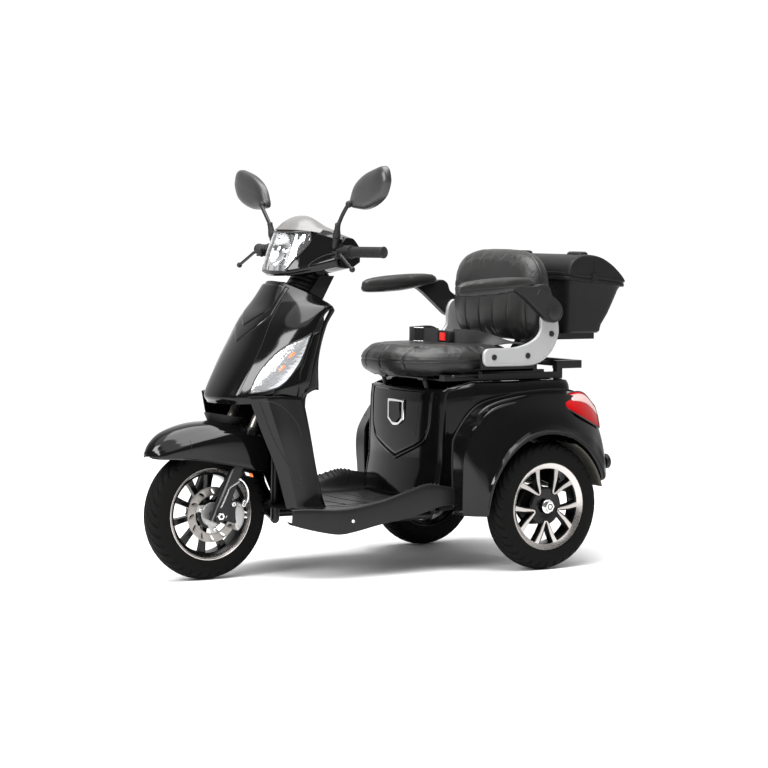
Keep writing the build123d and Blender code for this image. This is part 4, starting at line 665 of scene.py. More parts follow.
def rear_wheel(side, label):
    """Tyre, barrel and hub, and five V spokes: each a black bar that follows two
    mirrored rows of radius and distance from its middle, with a bright face."""
    body = "rear_wheel_" + label
    centre = np.array([side * WHEEL_X, REAR, AXLE])
    tyre("tyre_" + label, centre, body, "rear_tyre_" + label)
    rim_barrel("rim_barrel_" + label, centre, body, of=("rear_rim_" + label,), slot="alloy_black")
    axis = X_AXIS * side
    flange = [(128, 24), (139, 27), (140.5, 37.5), (138.5, 39), (133, 36.5), (124, 30.5), (122, 29), (122.5, 26)]
    lathe("rim_ring_" + label, np.array(flange) * MM, centre, axis, "machined", body, closed=True, crisp=28)
    hub = [(0, -30), (30, -30), (34, -26), (38, 4), (58, 11), (62, 16), (61, 21), (55, 25.5), (34, 25), (28, 24),
        (0, 24)]
    lathe("hub_" + label, np.array(hub) * MM, centre, axis, "alloy_black", body, crisp=28)
    black, bright = [], []
    for k in range(5):
        mid = -90 + 72 * k
        r = np.array([128, 112, 90, 70, 56, 49, 49, 56, 70, 90, 112, 128])
        d = np.array([18.5, 16.5, 13.4, 10.6, 7.6, 3.2, -3.2, -7.6, -10.6, -13.4, -16.5, -18.5]) * side
        path = polar(centre, r, mid + d)
        black.append((path, np.array([12.5, 11, 9.5, 8, 7, 6, 6, 7, 8, 9.5, 11, 12.5]) * MM,
            (6 if side > 0 else 6) * MM, 27 * MM))
        bright.append((path, np.array([9.5, 8.2, 6.4, 4.9, 3.4, 2.6, 2.6, 3.4, 4.9, 6.4, 8.2, 9.5]) * MM, 26.6 * MM,
            29.6 * MM))
    spokes("spokes_" + label, black, "alloy_black", body, axis)
    spokes("spoke_faces_" + label, bright, "machined", body, axis)
    grooves = []
    for k in range(5):
        mid = -90 + 72 * k
        for way in (1, -1):
            r = np.array([118, 98, 78, 60])
            d = np.array([13.2, 10.0, 6.6, 3.2]) * way * side
            grooves.append((polar(centre, r, mid + d), np.array([1.2, 1.2, 1.1, 0.9]) * MM, 28.6 * MM, 30.4 * MM))
    spokes("spoke_grooves_" + label, grooves, "alloy_black", body, axis)
    valve = polar(centre, np.array([120.0, 108.0, 96.0]), np.array([70.0, 70.0, 70.0])) + axis * 0.008
    tube("valve_" + label, valve, [0.0042, 0.0036, 0.003], "brass", body, sides=10)
    tip = polar(centre, np.array([96.0, 88.0]), np.array([70.0, 70.0])) + axis * 0.008
    tube("valve_cap_" + label, tip, 0.0042, "rubber", body, sides=10)
    washer = [(0, 31.5), (21, 31.5), (22.5, 33), (22.5, 36), (20, 38), (0, 38)]
    lathe("axle_washer_" + label, np.array(washer) * MM, centre, axis, "zinc", body, segments=48, crisp=30)
    many("axle_nut_" + label, head(0.0135, 0.010), [(centre + axis * 0.038, axis)], "zinc", body, bevel=0.0008)
    back = [(0, -42), (60, -42), (64, -40), (64, -31), (58, -29), (0, -29)]
    lathe("drum_" + label, np.array(back) * MM, centre, axis, "matt_black", body, crisp=28)


for side, label in ((1, "left"), (-1, "right")):
    rear_wheel(side, label)


def front_wheel():
    """Tyre, barrel and hub, ten bars, and the brake disc. The disc is one ring cell
    per slot, turned round the axle."""
    centre = np.array([0, FRONT, AXLE])
    tyre("tyre_front", centre, "front_wheel", "front_tyre")
    rim_barrel("rim_barrel_front", centre, "front_wheel", of=("front_rim",), slot="alloy_black")
    lip = [(129.5, 29), (133, 28), (139, 33), (143, 37), (142, 39.4), (139.5, 39.6), (137.6, 37.6), (136, 37.8),
        (134, 35.6), (131, 31.4)]
    for side in (1, -1):
        lathe("rim_lip_front_%d" % (side + 1), np.array(lip) * MM, centre, X_AXIS * side, "machined", "front_wheel",
            closed=True, crisp=28)
    hub = [(0, -40), (24, -40), (28, -38), (34, -30), (34, 26), (44, 30), (45, 36), (40, 38), (0, 38)]
    lathe("hub_front", np.array(hub) * MM, centre, X_AXIS, "alloy_black", "front_wheel", crisp=28)
    bars = []
    for k in range(10):
        path = polar(centre, np.array([28, 60, 95, 124]), np.full(4, 36.0 * k + 12))
        bars.append((path, np.array([10, 8.5, 9.5, 12.5]) * MM, -9 * MM, 11 * MM))
    spokes("spokes_front", bars, "alloy_black", "front_wheel")
    # disc: one cell to each slot; a cell's rings run from its slot out to its border
    turn, count = 2 * np.pi / 12, 24
    t = np.arange(count) * 2 * np.pi / count
    box = np.stack([np.cos(t), np.sin(t)], -1) / np.maximum(np.abs(np.cos(t)), np.abs(np.sin(t)))[:, None]
    slot_line = np.stack([0.2 * np.cos(t) + 0.26 * np.sin(t), 0.62 * np.sin(t)], -1)
    mix = np.linspace(0, 1, 3)[:, None, None]
    cell = slot_line * (1 - mix) + box * mix
    inner, outer = 0.058, 0.086
    verts, faces = [], []
    for k in range(12):
        ang = (k + cell[..., 0] / 2) * turn
        rad = (inner + outer) / 2 + cell[..., 1] * (outer - inner) / 2
        verts.append(np.stack([np.full_like(ang, 0.0475), FRONT + rad * np.cos(ang), AXLE + rad * np.sin(ang)],
            -1).reshape(-1, 3))
        faces += (quads(3, count, False, True) + k * 3 * count).tolist()
    build("disc_ring", np.concatenate(verts), faces, "steel", "front_wheel", inside=np.array([-1.0, FRONT, AXLE]),
        solid=True, thick=0.0035, of=("brake_disc",), slot="steel", bevel=0.0004)
    carrier = []
    for k in range(3):
        path = polar(centre, np.array([30, 42, 54, 64]), 120.0 * k + 30 + np.array([0, 3, 7, 12]))
        carrier.append((path, np.array([17, 12, 11, 14]) * MM, 44.4 * MM, 47.2 * MM))
    spokes("disc_carrier", carrier, "aluminium", "front_wheel")
    lathe("disc_boss", np.array([(0, 44), (36, 44), (38, 45), (36, 48.6), (16, 49), (0, 49)]) * MM, centre, X_AXIS,
        "aluminium", "front_wheel", segments=48)
    spots = [(np.array([0.0472, FRONT, AXLE]) + 0.046 * np.array([0, math.cos(a), math.sin(a)]),
        X_AXIS) for a in np.radians([39, 159, 279])]
    many("disc_bolts", head(0.0062, 0.005), spots, "zinc", "front_wheel", bevel=0.0005)


front_wheel()

# ---------------------------------------------------------------- mudguard and fork
MUDGUARD = millimetres(across([
    [(0, -211, 190), (9, -209, 189), (17, -204, 186), (19, -203, 183), (18, -202, 180)],
    [(0, -190, 226), (25, -186, 218), (42, -179, 200), (50, -175, 188), (48, -176, 178)],
    [(0, -147, 257), (36, -143, 248), (60, -134, 220), (70, -130, 202), (66, -132, 177)],
    [(0, -68, 279), (42, -66, 272), (70, -60, 244), (84, -57, 220), (80, -60, 172)],
    [(0, 21, 284), (48, 21, 280), (80, 24, 260), (97, 24, 236), (96, 20, 158)],
    [(0, 90, 276), (50, 90, 273), (84, 93, 258), (99, 96, 234), (100, 98, 142)],
    [(0, 140, 253), (48, 142, 251), (82, 146, 242), (97, 151, 220), (99, 152, 131)],
    [(0, 162, 234), (46, 162, 232), (80, 164, 226), (93, 166, 212), (97, 167, 128)],
]))
GUARD_SHARP = (2, 6)


def mudguard():
    """The guard's net made smooth, creased where its skirts begin."""
    grid = net(MUDGUARD, 8, 7, sharp_v=GUARD_SHARP)
    sheet("mudguard", grid, "gloss_black", "fork", inside=front(0, 40, 60), thick=0.003, crisp=22,
        of=("front_fender",), slot="gloss_black", bevel=0.0008)
    # a seam down each skirt and a rolled lower edge
    rows = np.linspace(0.2, 7, 90)
    for side in (1, -1):
        v = 8 if side > 0 else 0
        tube("mudguard_edge_%d" % (side + 1), on_net(MUDGUARD, rows, v, 0.0), 0.0021, "gloss_black", "fork",
            sides=8)
        v = np.linspace(6.05, 7.95, 16) if side > 0 else np.linspace(1.95, 0.05, 16)
        tube("mudguard_seam_%d" % (side + 1), on_net(MUDGUARD, np.linspace(2.62, 2.5, 16), v, 0.0002,
            sharp_v=GUARD_SHARP), 0.0008, "matt_black", "fork", sides=6)


mudguard()


def collar():
    """The boot over the mudguard, under the yoke: ovals that flare and then
    turn in to a sunk floor."""
    rows = [(48, 44, 60, 270), (54, 50, 60, 284), (62, 57, 62, 296), (64, 59, 63, 300), (60, 55, 63, 301),
        (52, 48, 63, 294), (30, 28, 63, 290), (1, 1, 63, 290)]
    a = np.linspace(0, 2 * np.pi, 64, endpoint=False)
    grid = np.stack([np.stack([np.cos(a) * w, y + np.sin(a) * d, z - 0.16 * np.sin(a) * d], -1) for w, d, y,
        z in rows])
    boot = sheet("fork_boot", millimetres(grid), "rubber", "fork", False, True, inside=front(0, 63, 255), crisp=60)
    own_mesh(boot)


collar()


def fork_details():
    """Leg faces, brake pipe, caliper, bolts and the side reflector: flat outlines
    carried across, and round bars along smooth lines."""
    for side in (1, -1):
        face = [front(side * 92, a, b) for a, b in ((-13, -17), (13, -19), (26, 4), (46, 60), (92, 168), (126, 252),
            (100, 262), (62, 176), (16, 72), (-14, 14))]
        plate("fork_leg_face_%d" % (side + 1), face, np.array([side * 0.0035, 0, 0]), "black_steel", "fork",
            bevel=0.0016)
        rib = curve([front(side * 96.5, 3, 25), front(side * 96.5, 34, 86), front(side * 96.5, 66, 103)], 8,
            sharp=(1,))
        tube("fork_rib_%d" % (side + 1), rib, 0.0017, "chrome", "fork", sides=8)
    pipe = curve([front(92, 66, 110), front(98, 78, 104), front(100, 92, 82), front(97, 98, 60), front(90, 98, 40),
        front(74, 95, 27)], 10)
    tube("brake_pipe", pipe, 0.0034, "chrome", "fork", sides=12)
    sleeve = curve([front(80, 108, 150), front(88, 82, 128), front(92, 66, 110)], 8)
    tube("pipe_sleeve", sleeve, 0.0048, "rubber", "fork", sides=12)
    out = [(72, 12), (72, 28), (81, 36), (94, 28), (104, 6), (102, -22), (90, -46), (78, -52), (71, -34), (71, -8)]
    body = curve([front(38, a, b) for a, b in out], 5, closed=True)
    plate("caliper_body", body, np.array([0.029, 0, 0]), "aluminium", "fork", bevel=0.0045, of=("brake_caliper",),
        slot="aluminium")
    cap = curve([front(67, a, b) for a, b in ((70, 22), (90, 18), (96, -6), (88, -34), (76, -36), (68, -10))], 5,
        closed=True)
    plate("caliper_cap", cap, np.array([0.005, 0, 0]), "aluminium", "fork", bevel=0.0022)
    plate("caliper_bracket", [front(60, a, b) for a, b in ((14, -16), (34, -20), (66, -28), (72, 20), (60, 44),
        (40, 34), (18, 12))], np.array([0.007, 0, 0]), "black_steel", "fork", bevel=0.0012)
    spots = [(front(67, 60, 31), X_AXIS), (front(67, 29, -3), X_AXIS), (front(67, 96, 28), X_AXIS)]
    many("caliper_bolts", head(0.0085, 0.009), spots, "zinc", "fork", bevel=0.0006)
    many("bleed_screws", head(0.0045, 0.014, sides=12), [(front(58, 100, 2), (0.3, 1, 0.05)),
        (front(58, 101, -12), (0.3, 1, -0.05)), (front(70, 95, 30), (0.2, 0.4, 1))], "zinc", "fork", bevel=0.0004)
    many("axle_nuts_front", head(0.013, 0.011), [(front(94.5, 0, 0), X_AXIS), (front(-94.5, 0, 0), -X_AXIS)],
        "zinc", "fork", bevel=0.0008)
    base = [front(95, a, b) for a, b in ((80, 136), (112, 126), (117, 111), (86, 119))]
    plate("side_reflector_base", base, np.array([0.003, 0, 0]), "matt_black", "fork", bevel=0.0008)
    plate("side_reflector", [front(98, a, b) for a, b in ((83, 133), (98, 128.5), (102, 117.5), (88, 121))],
        np.array([0.0022, 0, 0]), "chrome", "fork", bevel=0.0006)
    plate("side_reflector_amber", [front(98, a, b) for a, b in ((99, 128), (110, 125), (114, 114), (103, 117))],
        np.array([0.0022, 0, 0]), "amber", "fork", bevel=0.0006)


fork_details()

# ---------------------------------------------------------------- apron, signals and side panels
APRON = millimetres(across([
    [(0, 31, 338), (50, 36, 338), (92, 56, 339), (128, 92, 342), (152, 140, 345), (160, 200, 340)],
    [(0, 21, 368), (55, 28, 368), (100, 54, 368), (140, 96, 368), (170, 146, 367), (182, 208, 364)],
    [(0, 64, 453), (60, 72, 453), (106, 96, 452), (152, 132, 450), (190, 176, 448), (202, 222, 446)],
    [(0, 109, 529), (58, 116, 529), (102, 138, 529), (154, 170, 527), (199, 214, 525), (208, 244, 524)],
    [(0, 148, 593), (54, 154, 594), (92, 172, 594), (150, 202, 592), (200, 246, 590), (209, 274, 588)],
    [(0, 188, 640), (48, 194, 642), (80, 210, 644), (144, 242, 640), (200, 282, 632), (209, 304, 624)],
    [(0, 233, 714), (42, 238, 711), (74, 258, 700), (138, 294, 674), (197, 318, 650), (209, 326, 636)],
    [(0, 262, 712), (40, 266, 708), (80, 302, 690), (130, 330, 664), (180, 340, 644), (196, 338, 630)],
]))
APRON_ROWS, APRON_COLS = (6,), (3, 7)
MID = 5


def on_apron(u, c, lift=0.0, side=1):
    """A place on the apron: row number, columns out from the middle, and side."""
    return on_net(APRON, u, MID + side * np.asarray(c, float), lift, APRON_ROWS, APRON_COLS)


def apron():
    """The nose's net made smooth, two raised layers on it, its seams and edges."""
    inside = front(0, 250, 500)
    grid = net(APRON, 10, 8, sharp_u=APRON_ROWS, sharp_v=APRON_COLS)
    sheet("apron", grid, "gloss_black", "chassis", inside=inside, thick=0.003, crisp=20, of=("front_apron",),
        slot="gloss_black", bevel=0.0008)
    # two raised V layers on the nose: a strip of the apron whose lower border
    # climbs with the distance from the middle, lifted and let down at its border
    for k, (low, reach, lift) in enumerate(((2.9, 2.0, 0.0032), (3.6, 1.75, 0.0062))):
        c = np.linspace(-reach, reach, 81)[None, :]
        t = np.linspace(0, 1, 48)[:, None]
        bottom = low + 0.62 * np.abs(c) ** 1.15
        u = bottom + (5.9 - bottom) * t
        edge = np.minimum(np.minimum(t / 0.05, (1 - t) / 0.05), (reach - np.abs(c)) / 0.09)
        rise = lift * np.clip(edge, 0, 1) ** 0.5 - 0.0012 * (edge <= 0)
        sheet("apron_layer_%d" % k, on_net(APRON, u, MID + c, -rise, APRON_ROWS, APRON_COLS), "gloss_black",
            "chassis", inside=inside, crisp=24)
    for side in (1, -1):
        u = np.linspace(0.05, 5.6, 60)
        tube("apron_seam_%d" % (side + 1), on_apron(u, 2.06, 0, side), 0.0009, "matt_black", "chassis", sides=6)
        u = np.linspace(0, 7, 90)
        tube("apron_edge_%d" % (side + 1), on_apron(u, 4.98, 0, side), 0.0024, "gloss_black", "chassis", sides=8)


SIGNAL_IN = [(1.1, 2.62), (1.75, 2.6), (2.45, 2.95), (3.05, 3.6), (3.5, 4.7)]
SIGNAL_OUT = [(1.1, 2.62), (1.22, 3.45), (1.55, 4.2), (2.5, 4.72), (3.5, 4.7)]


SIGN = -1.0


def signal(side):
    """A leaf of the apron between two border lines. Across it the lens rises
    by a half sine; the bowl behind it keeps one small distance from the apron."""
    name = "left" if side > 0 else "right"
    s = np.linspace(0, 4, 41)
    inner, outer = (weights(5, s) @ np.array(p, float) for p in (SIGNAL_IN, SIGNAL_OUT))
    t = np.linspace(0, 1, 19)[None, :, None]
    uv = inner[:, None] * (1 - t) + outer[:, None] * t
    along = np.sin(np.pi * s / 4)[:, None]
    rise = np.sin(np.pi * t[..., 0]) * along
    inside = front(0, 250, 500)
    sheet("signal_bowl_" + name, on_apron(uv[..., 0], uv[..., 1], SIGN * side * 0.0012, side), "reflector",
        "chassis", inside=inside, crisp=60)
    sheet("signal_lens_" + name, on_apron(uv[..., 0], uv[..., 1], SIGN * side * (0.0022 + 0.0075 * rise), side),
        "lens_ribbed", "chassis", inside=inside, thick=0.0016, crisp=60, of=("turn_signals",) if side > 0 else (),
        slot="clear")
    for k, line in enumerate((inner, outer)):
        tube("signal_trim_%s_%d" % (name, k), on_apron(line[:, 0], line[:, 1], SIGN * side * 0.0014, side), 0.0022,
            "matt_black", "chassis", sides=8)
    for k, (u, c) in enumerate(((2.45, 3.78), (1.95, 3.62))):
        line = on_apron(np.array([u, u + 0.1, u + 0.2]), np.array([c, c + 0.09, c + 0.17]), SIGN * side * 0.0045,
            side)
        tube("signal_bulb_%s_%d" % (name, k), curve(line, 4), 0.0042, "amber", "chassis", sides=12)


apron()
for side in (1, -1):
    signal(side)

SIDE = millimetres([
    [(146, 66, 366), (186, 108, 368), (203, 160, 368), (208, 214, 364), (206, 226, 360)],
    [(166, 100, 262), (197, 140, 262), (207, 190, 262), (209, 240, 262), (206, 250, 262)],
    [(176, 146, 150), (201, 178, 150), (208, 220, 150), (210, 262, 150), (206, 274, 150)],
    [(181, 172, 60), (204, 200, 60), (211, 240, 60), (214, 280, 60), (208, 296, 60)],
    [(184, 182, 22), (206, 208, 22), (216, 250, 22), (222, 292, 22), (212, 308, 22)],
])


def side_panel(side):
    """The panel's net made smooth, and its trim, chin and flank drawn on it by
    row and column numbers."""
    name = "left" if side > 0 else "right"
    inside = front(0, 240, 150)
    rows = mirrored(SIDE, side)
    sheet("side_panel_" + name, net(rows, 10, 8, sharp_v=(1, 3)), "gloss_black", "chassis", inside=inside,
        thick=0.003, crisp=22, of=("side_covers",) if side > 0 else (), slot="gloss_black", bevel=0.0008)
    lift = -0.0006 * side
    # the sunk trim line of the panel: down from its head, in to a step and back
    trim = curve([(0.15, 0.5), (1.3, 0.62), (2.35, 1.28), (2.5, 1.72), (2.2, 1.8), (1.9, 1.55)], 8, sharp=(2, 3, 4))
    tube("panel_trim_" + name, on_net(rows, trim[:, 0], trim[:, 1], lift, (), (1, 3)), 0.0026, "matt_black",
        "chassis", sides=8)
    head_ = curve([(0.1, 0.62), (0.25, 1.6), (0.75, 2.35), (1.2, 2.5)], 8)
    tube("panel_line_" + name, on_net(rows, head_[:, 0], head_[:, 1], lift, (), (1, 3)), 0.0012, "matt_black",
        "chassis", sides=6)
    # the dark chin above it, closing up to the apron's lower edge
    chin = [[(x * side, y, z) for x, y, z in row] for row in (
        [(150, 120, 352), (176, 150, 356), (196, 196, 360), (203, 236, 360)],
        [(160, 132, 384), (190, 166, 392), (208, 214, 404), (209, 250, 410)],
        [(165, 150, 430), (190, 190, 450), (206, 232, 470), (209, 262, 476)],
        [(170, 180, 520), (192, 224, 540), (206, 262, 560), (208, 286, 566)],
    )]
    sheet("panel_chin_" + name, net(millimetres(chin), 8, 6, sharp_u=(1,)), "gloss_black", "chassis", inside=inside,
        thick=0.003, crisp=24)
    flank = [[(x * side, y, z) for x, y, z in row] for row in (
        [(205, 222, 366), (207, 236, 372), (206, 262, 384), (200, 284, 384)],
        [(206, 256, 470), (208, 270, 476), (207, 276, 480), (202, 282, 480)],
        [(206, 280, 560), (209, 292, 570), (208, 300, 576), (204, 306, 576)],
        [(206, 318, 634), (209, 326, 634), (208, 332, 632), (204, 336, 626)],
    )]
    sheet("shield_flank_" + name, net(millimetres(flank), 10, 5), "gloss_black", "chassis", inside=inside,
        thick=0.003, crisp=30)


for side in (1, -1):
    side_panel(side)

# ---------------------------------------------------------------- floor
# stations: along, edge across, top of the edge, foot of the skirt, all row millimetres
FLOOR = [(-442, 206, 226, 178), (-395, 222, 226, 164), (-344, 240, 224, 152), (-300, 262, 224, 146),
    (-250, 270, 227, 152), (-150, 270, 243, 170), (-76, 270, 262, 180), (-10, 270, 278, 192), (30, 270, 283, 203),
    (75, 269, 277, 213), (130, 264, 268, 216), (199, 262, 265, 216)]


def floor_net():
    """Across each station: flat deck, a ramp up to the kerb, over it and down the skirt."""
    rows = []
    for y, x, top, low in FLOOR:
        deck = 221.5
        rise = top - deck
        rows.append([(0, y, deck), (x - 130, y, deck), (x - 66, y, deck + 0.6), (x - 36, y, deck + 0.72 * rise),
            (x - 12, y, top), (x - 1, y, top - 5), (x, y, (top + low) / 2), (x - 3, y, low), (x - 14, y, low - 2),
            (x - 30, y, low + 4)])
    return np.array(across(rows)) * MM


def floor_piece():
    """The tray's net made smooth. Ribs, mat lines and drains are drawn on it by
    row and column numbers; a rib's radius runs up and down again along it."""
    points = floor_net()
    inside = np.array([0, -0.1, 0.19])
    mid = 9
    sheet("floor_tray", net(points, 8, 5, sharp_v=(mid - 7, mid + 7)), "floor_plastic", "chassis", inside=inside,
        thick=0.003, crisp=26, of=("floorboard",), slot="matt_black")
    for side in (1, -1):
        ribs = []
        for k in range(8):
            u = 6.35 + 0.34 * k
            v = mid + side * np.linspace(3.0, 4.75, 14)
            ribs.append(rings(on_net(points, np.full(14, u), v, 0.0), np.interp(np.arange(14), [0, 3, 10, 13],
                [0.0012, 0.0034, 0.0034, 0.0012]), 8))
        verts, faces = [], []
        for i, ring in enumerate(ribs):
            grid, part = capped(ring)
            verts.append(grid.reshape(-1, 3))
            faces += [[f + i * 14 * 8 for f in face] for face in part]
        build("kerb_ribs_%d" % (side + 1), np.concatenate(verts), faces, "floor_plastic", "chassis", solid=True,
            crisp=60)
        lines = []
        for k, c in enumerate((1.2, 1.75)):
            u = np.linspace(3.2, 9.6, 50)
            lines.append(on_net(points, u, mid + side * (c + 0.12 * np.sin(u)), -0.0 + 0.0002))
            tube("mat_line_%d_%d" % (side + 1, k), lines[-1], 0.0016, "matt_black", "chassis", sides=6)
        u = np.linspace(7.2, 8.6, 30)
        a = np.linspace(0, 2 * np.pi, 30, endpoint=False)
        spot = on_net(points, 8.2 + 0.16 * np.cos(a), mid + side * (2.35 + 0.2 * np.sin(a)), 0.0008)
        plate("drain_%d" % (side + 1), spot, np.array([0, 0, 0.0006]), "decal_black", "chassis", bevel=0)
    many("floor_bolts", head(0.0055, 0.003, sides=12), [(np.array([s * 0.2685, -0.262, 0.186]),
        (s, 0, 0)) for s in (1, -1)], "zinc", "chassis", bevel=0.0004)
    for k, y in enumerate((-0.30, -0.22, -0.14, -0.06, 0.02)):
        line = np.stack([np.linspace(-0.14, 0.14, 24), np.full(24, y) + 0.012 * np.abs(np.linspace(-1, 1,
            24)) ** 1.5, np.full(24, 0.2217)], -1)
        tube("mat_cross_%d" % k, line, 0.0015, "matt_black", "chassis", sides=6)


floor_piece()

# ---------------------------------------------------------------- headlight cowl
COWL_X = (0, 60, 100, 155, 208)
COWL_RINGS = {
    0: [(238, 729), (229, 750), (262, 866), (300, 893), (372, 884), (434, 840), (440, 760), (340, 729)],
    60: [(247, 731), (239, 753), (279, 866), (314, 888), (378, 880), (435, 836), (439, 762), (344, 731)],
    100: [(275, 738), (268, 762), (318, 863), (346, 877), (392, 868), (436, 828), (436, 766), (350, 736)],
    155: [(310, 748), (304, 776), (343, 853), (364, 864), (397, 858), (431, 824), (431, 770), (370, 745)],
    208: [(345, 762), (340, 790), (362, 838), (374, 850), (400, 846), (424, 818), (424, 776), (390, 758)],
}
LENS_Z, LENS_W = (740, 760, 800, 835, 868), (66, 74, 92, 106, 96)


def cowl_net():
    """The cowl's rings as one net, both sides of the middle plane."""
    half = np.array([[(x, y, z) for y, z in COWL_RINGS[x]] for x in COWL_X], float).transpose(1, 0, 2)
    return millimetres(across(half))


COWL = cowl_net()
COWL_U, COWL_V = (0, 2, 3, 5, 6), (0, 2, 6, 8)


def cowl():
    """The cowl's rings joined along its width, without the faces behind the
    lens: those nearer the middle than the lens's half width at their height."""
    grid = np.einsum("ai,ijk,bj->abk", basis(8, 8, True, COWL_U), COWL, basis(9, 8, False, COWL_V))
    rows, cols = grid.shape[:2]
    faces = quads(rows, cols, True, False)
    mid = grid.reshape(-1, 3)[faces].mean(1)
    z = (mid[:, 2] - AXLE) / MM
    cut = (np.abs(mid[:, 0]) / MM < np.interp(z, LENS_Z, LENS_W) - 3) & (z > 742) & (z < 864) & (mid[:,
        1] < FRONT + 0.33)
    # a round hole below, in which the shield's neck stays as the bars turn
    foot = COLUMN_FOOT
    along = (mid - foot) @ COLUMN
    reach = np.linalg.norm(mid - foot - along[:, None] * COLUMN, axis=1)
    cut |= (reach < 0.106) & (along < 0.852) & (z < 775)
    inside = front(0, 350, 800)
    build("cowl_shell", grid, faces[~cut], "gloss_black", "steering", inside=inside, thick=0.0028, crisp=22,
        of=("headlight_cowl",), slot="gloss_black")
    for side in (1, -1):
        ends = grid[:, -1] if side > 0 else grid[:, 0]
        centre = ends.mean(0)
        t = np.array([1, 0.9, 0.7])[:, None, None]
        sunk = centre + (ends - centre) * t + np.array([-side * 0.004, 0, 0]) * (1 - t) * 10
        sheet("cowl_end_%d" % (side + 1), sunk, "matt_black", "steering", False, True, inside=inside, thick=0.0012)
    # lens: the front of the cowl between its edges, bowed out a little
    t = np.linspace(0, 1, 33)[:, None]
    z = 743 + (866 - 743) * t
    w = np.interp(z, LENS_Z, LENS_W)
    s = np.linspace(-1, 1, 49)[None, :]
    x = s * w
    front_y = on_net(COWL, 1 + t + 0 * s, 4 + np.sign(x) * np.interp(np.abs(x), COWL_X, range(5)), 0, (), ())
    y = front_y[..., 1] - 0.0035 - 0.007 * np.sin(np.pi * np.clip(t, 0, 1)) * (1 - s**2)
    lens = np.stack([x * MM, y, AXLE + z * MM + 0 * x], -1)
    sheet("headlamp_lens", lens, "clear", "steering", inside=inside, thick=0.0016, crisp=60, of=("headlight_lens",),
        slot="clear")
    rim = np.concatenate([lens[0, ::2], lens[1:, -1], lens[-1, -2::-2], lens[-2:0:-1, 0]])
    loop = curve(np.concatenate([rim, rim[:1]]) + np.array([0, 0.001, 0]), 2)
    tube("headlamp_frame", loop, 0.0034, "decal_black", "steering", sides=10)
    # bowl: behind the lens, a round cup about the lamp and flat flutes under it
    r = np.hypot(x, z - 812)
    cup = 40 * np.clip(1 - (r / 50) ** 2, 0, 1) ** 0.7
    flutes = 2.2 * np.abs(np.sin(x / 9)) * (r > 52)
    back = np.stack([x * MM * 0.985, front_y[..., 1] + (7 + cup + flutes) * MM, AXLE + z * MM + 0 * x], -1)
    sheet("headlamp_bowl", back, "chrome", "steering", inside=front(0, 500, 800), crisp=30,
        of=("headlight_reflector",), slot="chrome")
    a = np.linspace(0, 2 * np.pi, 49)
    ring = np.stack([50 * MM * np.cos(a), np.interp(50 * np.sin(a), [-50, 50], [FRONT + 0.258, FRONT + 0.287]),
        AXLE + (812 + 50 * np.sin(a)) * MM], -1)
    tube("headlamp_ring", ring, 0.0026, "chrome", "steering", sides=10)
    bulb = [(0, -6), (6, -5), (9, 0), (9, 6), (6, 14), (5, 30), (0, 30)]
    lathe("headlamp_bulb", np.array(bulb) * MM, front(0, 276, 806), (0, 1, 0.25), "chrome", "steering", segments=32)
    # visor
    rows = [
        [(0, 262, 874), (60, 279, 873), (104, 316, 869), (124, 344, 862)],
        [(0, 288, 897), (56, 302, 894), (100, 338, 880), (122, 362, 868)],
        [(0, 316, 912), (50, 327, 908), (94, 360, 884), (120, 380, 870)],
        [(0, 340, 918), (44, 346, 913), (84, 378, 884), (112, 394, 872)],
    ]
    sheet("visor_screen", net(millimetres(across(rows)), 8, 8, sharp_v=(1, 5)), "smoke", "steering", inside=inside,
        thick=0.0026, crisp=24, of=("visor",), slot="smoke", bevel=0.0006)
    # a flank recess, rounded in front, on each side
    for side in (1, -1):
        line = curve([(0.3, 3.9), (0.45, 3.0), (0.75, 2.55), (1.05, 2.7), (1.25, 3.3), (1.3, 3.9)], 8)
        tube("cowl_groove_%d" % (side + 1), on_net(COWL, line[:, 0], 4 + side * line[:, 1], 0, (), COWL_V), 0.0016,
            "matt_black", "steering", sides=6)


cowl()


def column_boot():
    """A ringed cover round the steerer, from inside the neck up into the cowl."""
    foot = COLUMN_FOOT
    s = np.linspace(752, 842, 46)
    r = 57 + 2.2 * np.cos(s / 15 * 2 * np.pi) - 4 * (s - 752) / 90
    profile = np.stack([np.concatenate([[0], r, [0]]), np.concatenate([[s[0]], s, [s[-1]]])], -1) * MM
    lathe("column_boot", profile, foot, COLUMN, "rubber", "steering", segments=64, crisp=60)


column_boot()

# ---------------------------------------------------------------- mirrors and bars
MIRROR = [(247, 946), (252, 976), (276, 1013), (330, 1044), (392, 1062), (424, 1067), (442, 1058), (452, 1034),
    (452, 1014), (436, 982), (410, 962), (372, 946), (330, 937), (292, 938)]


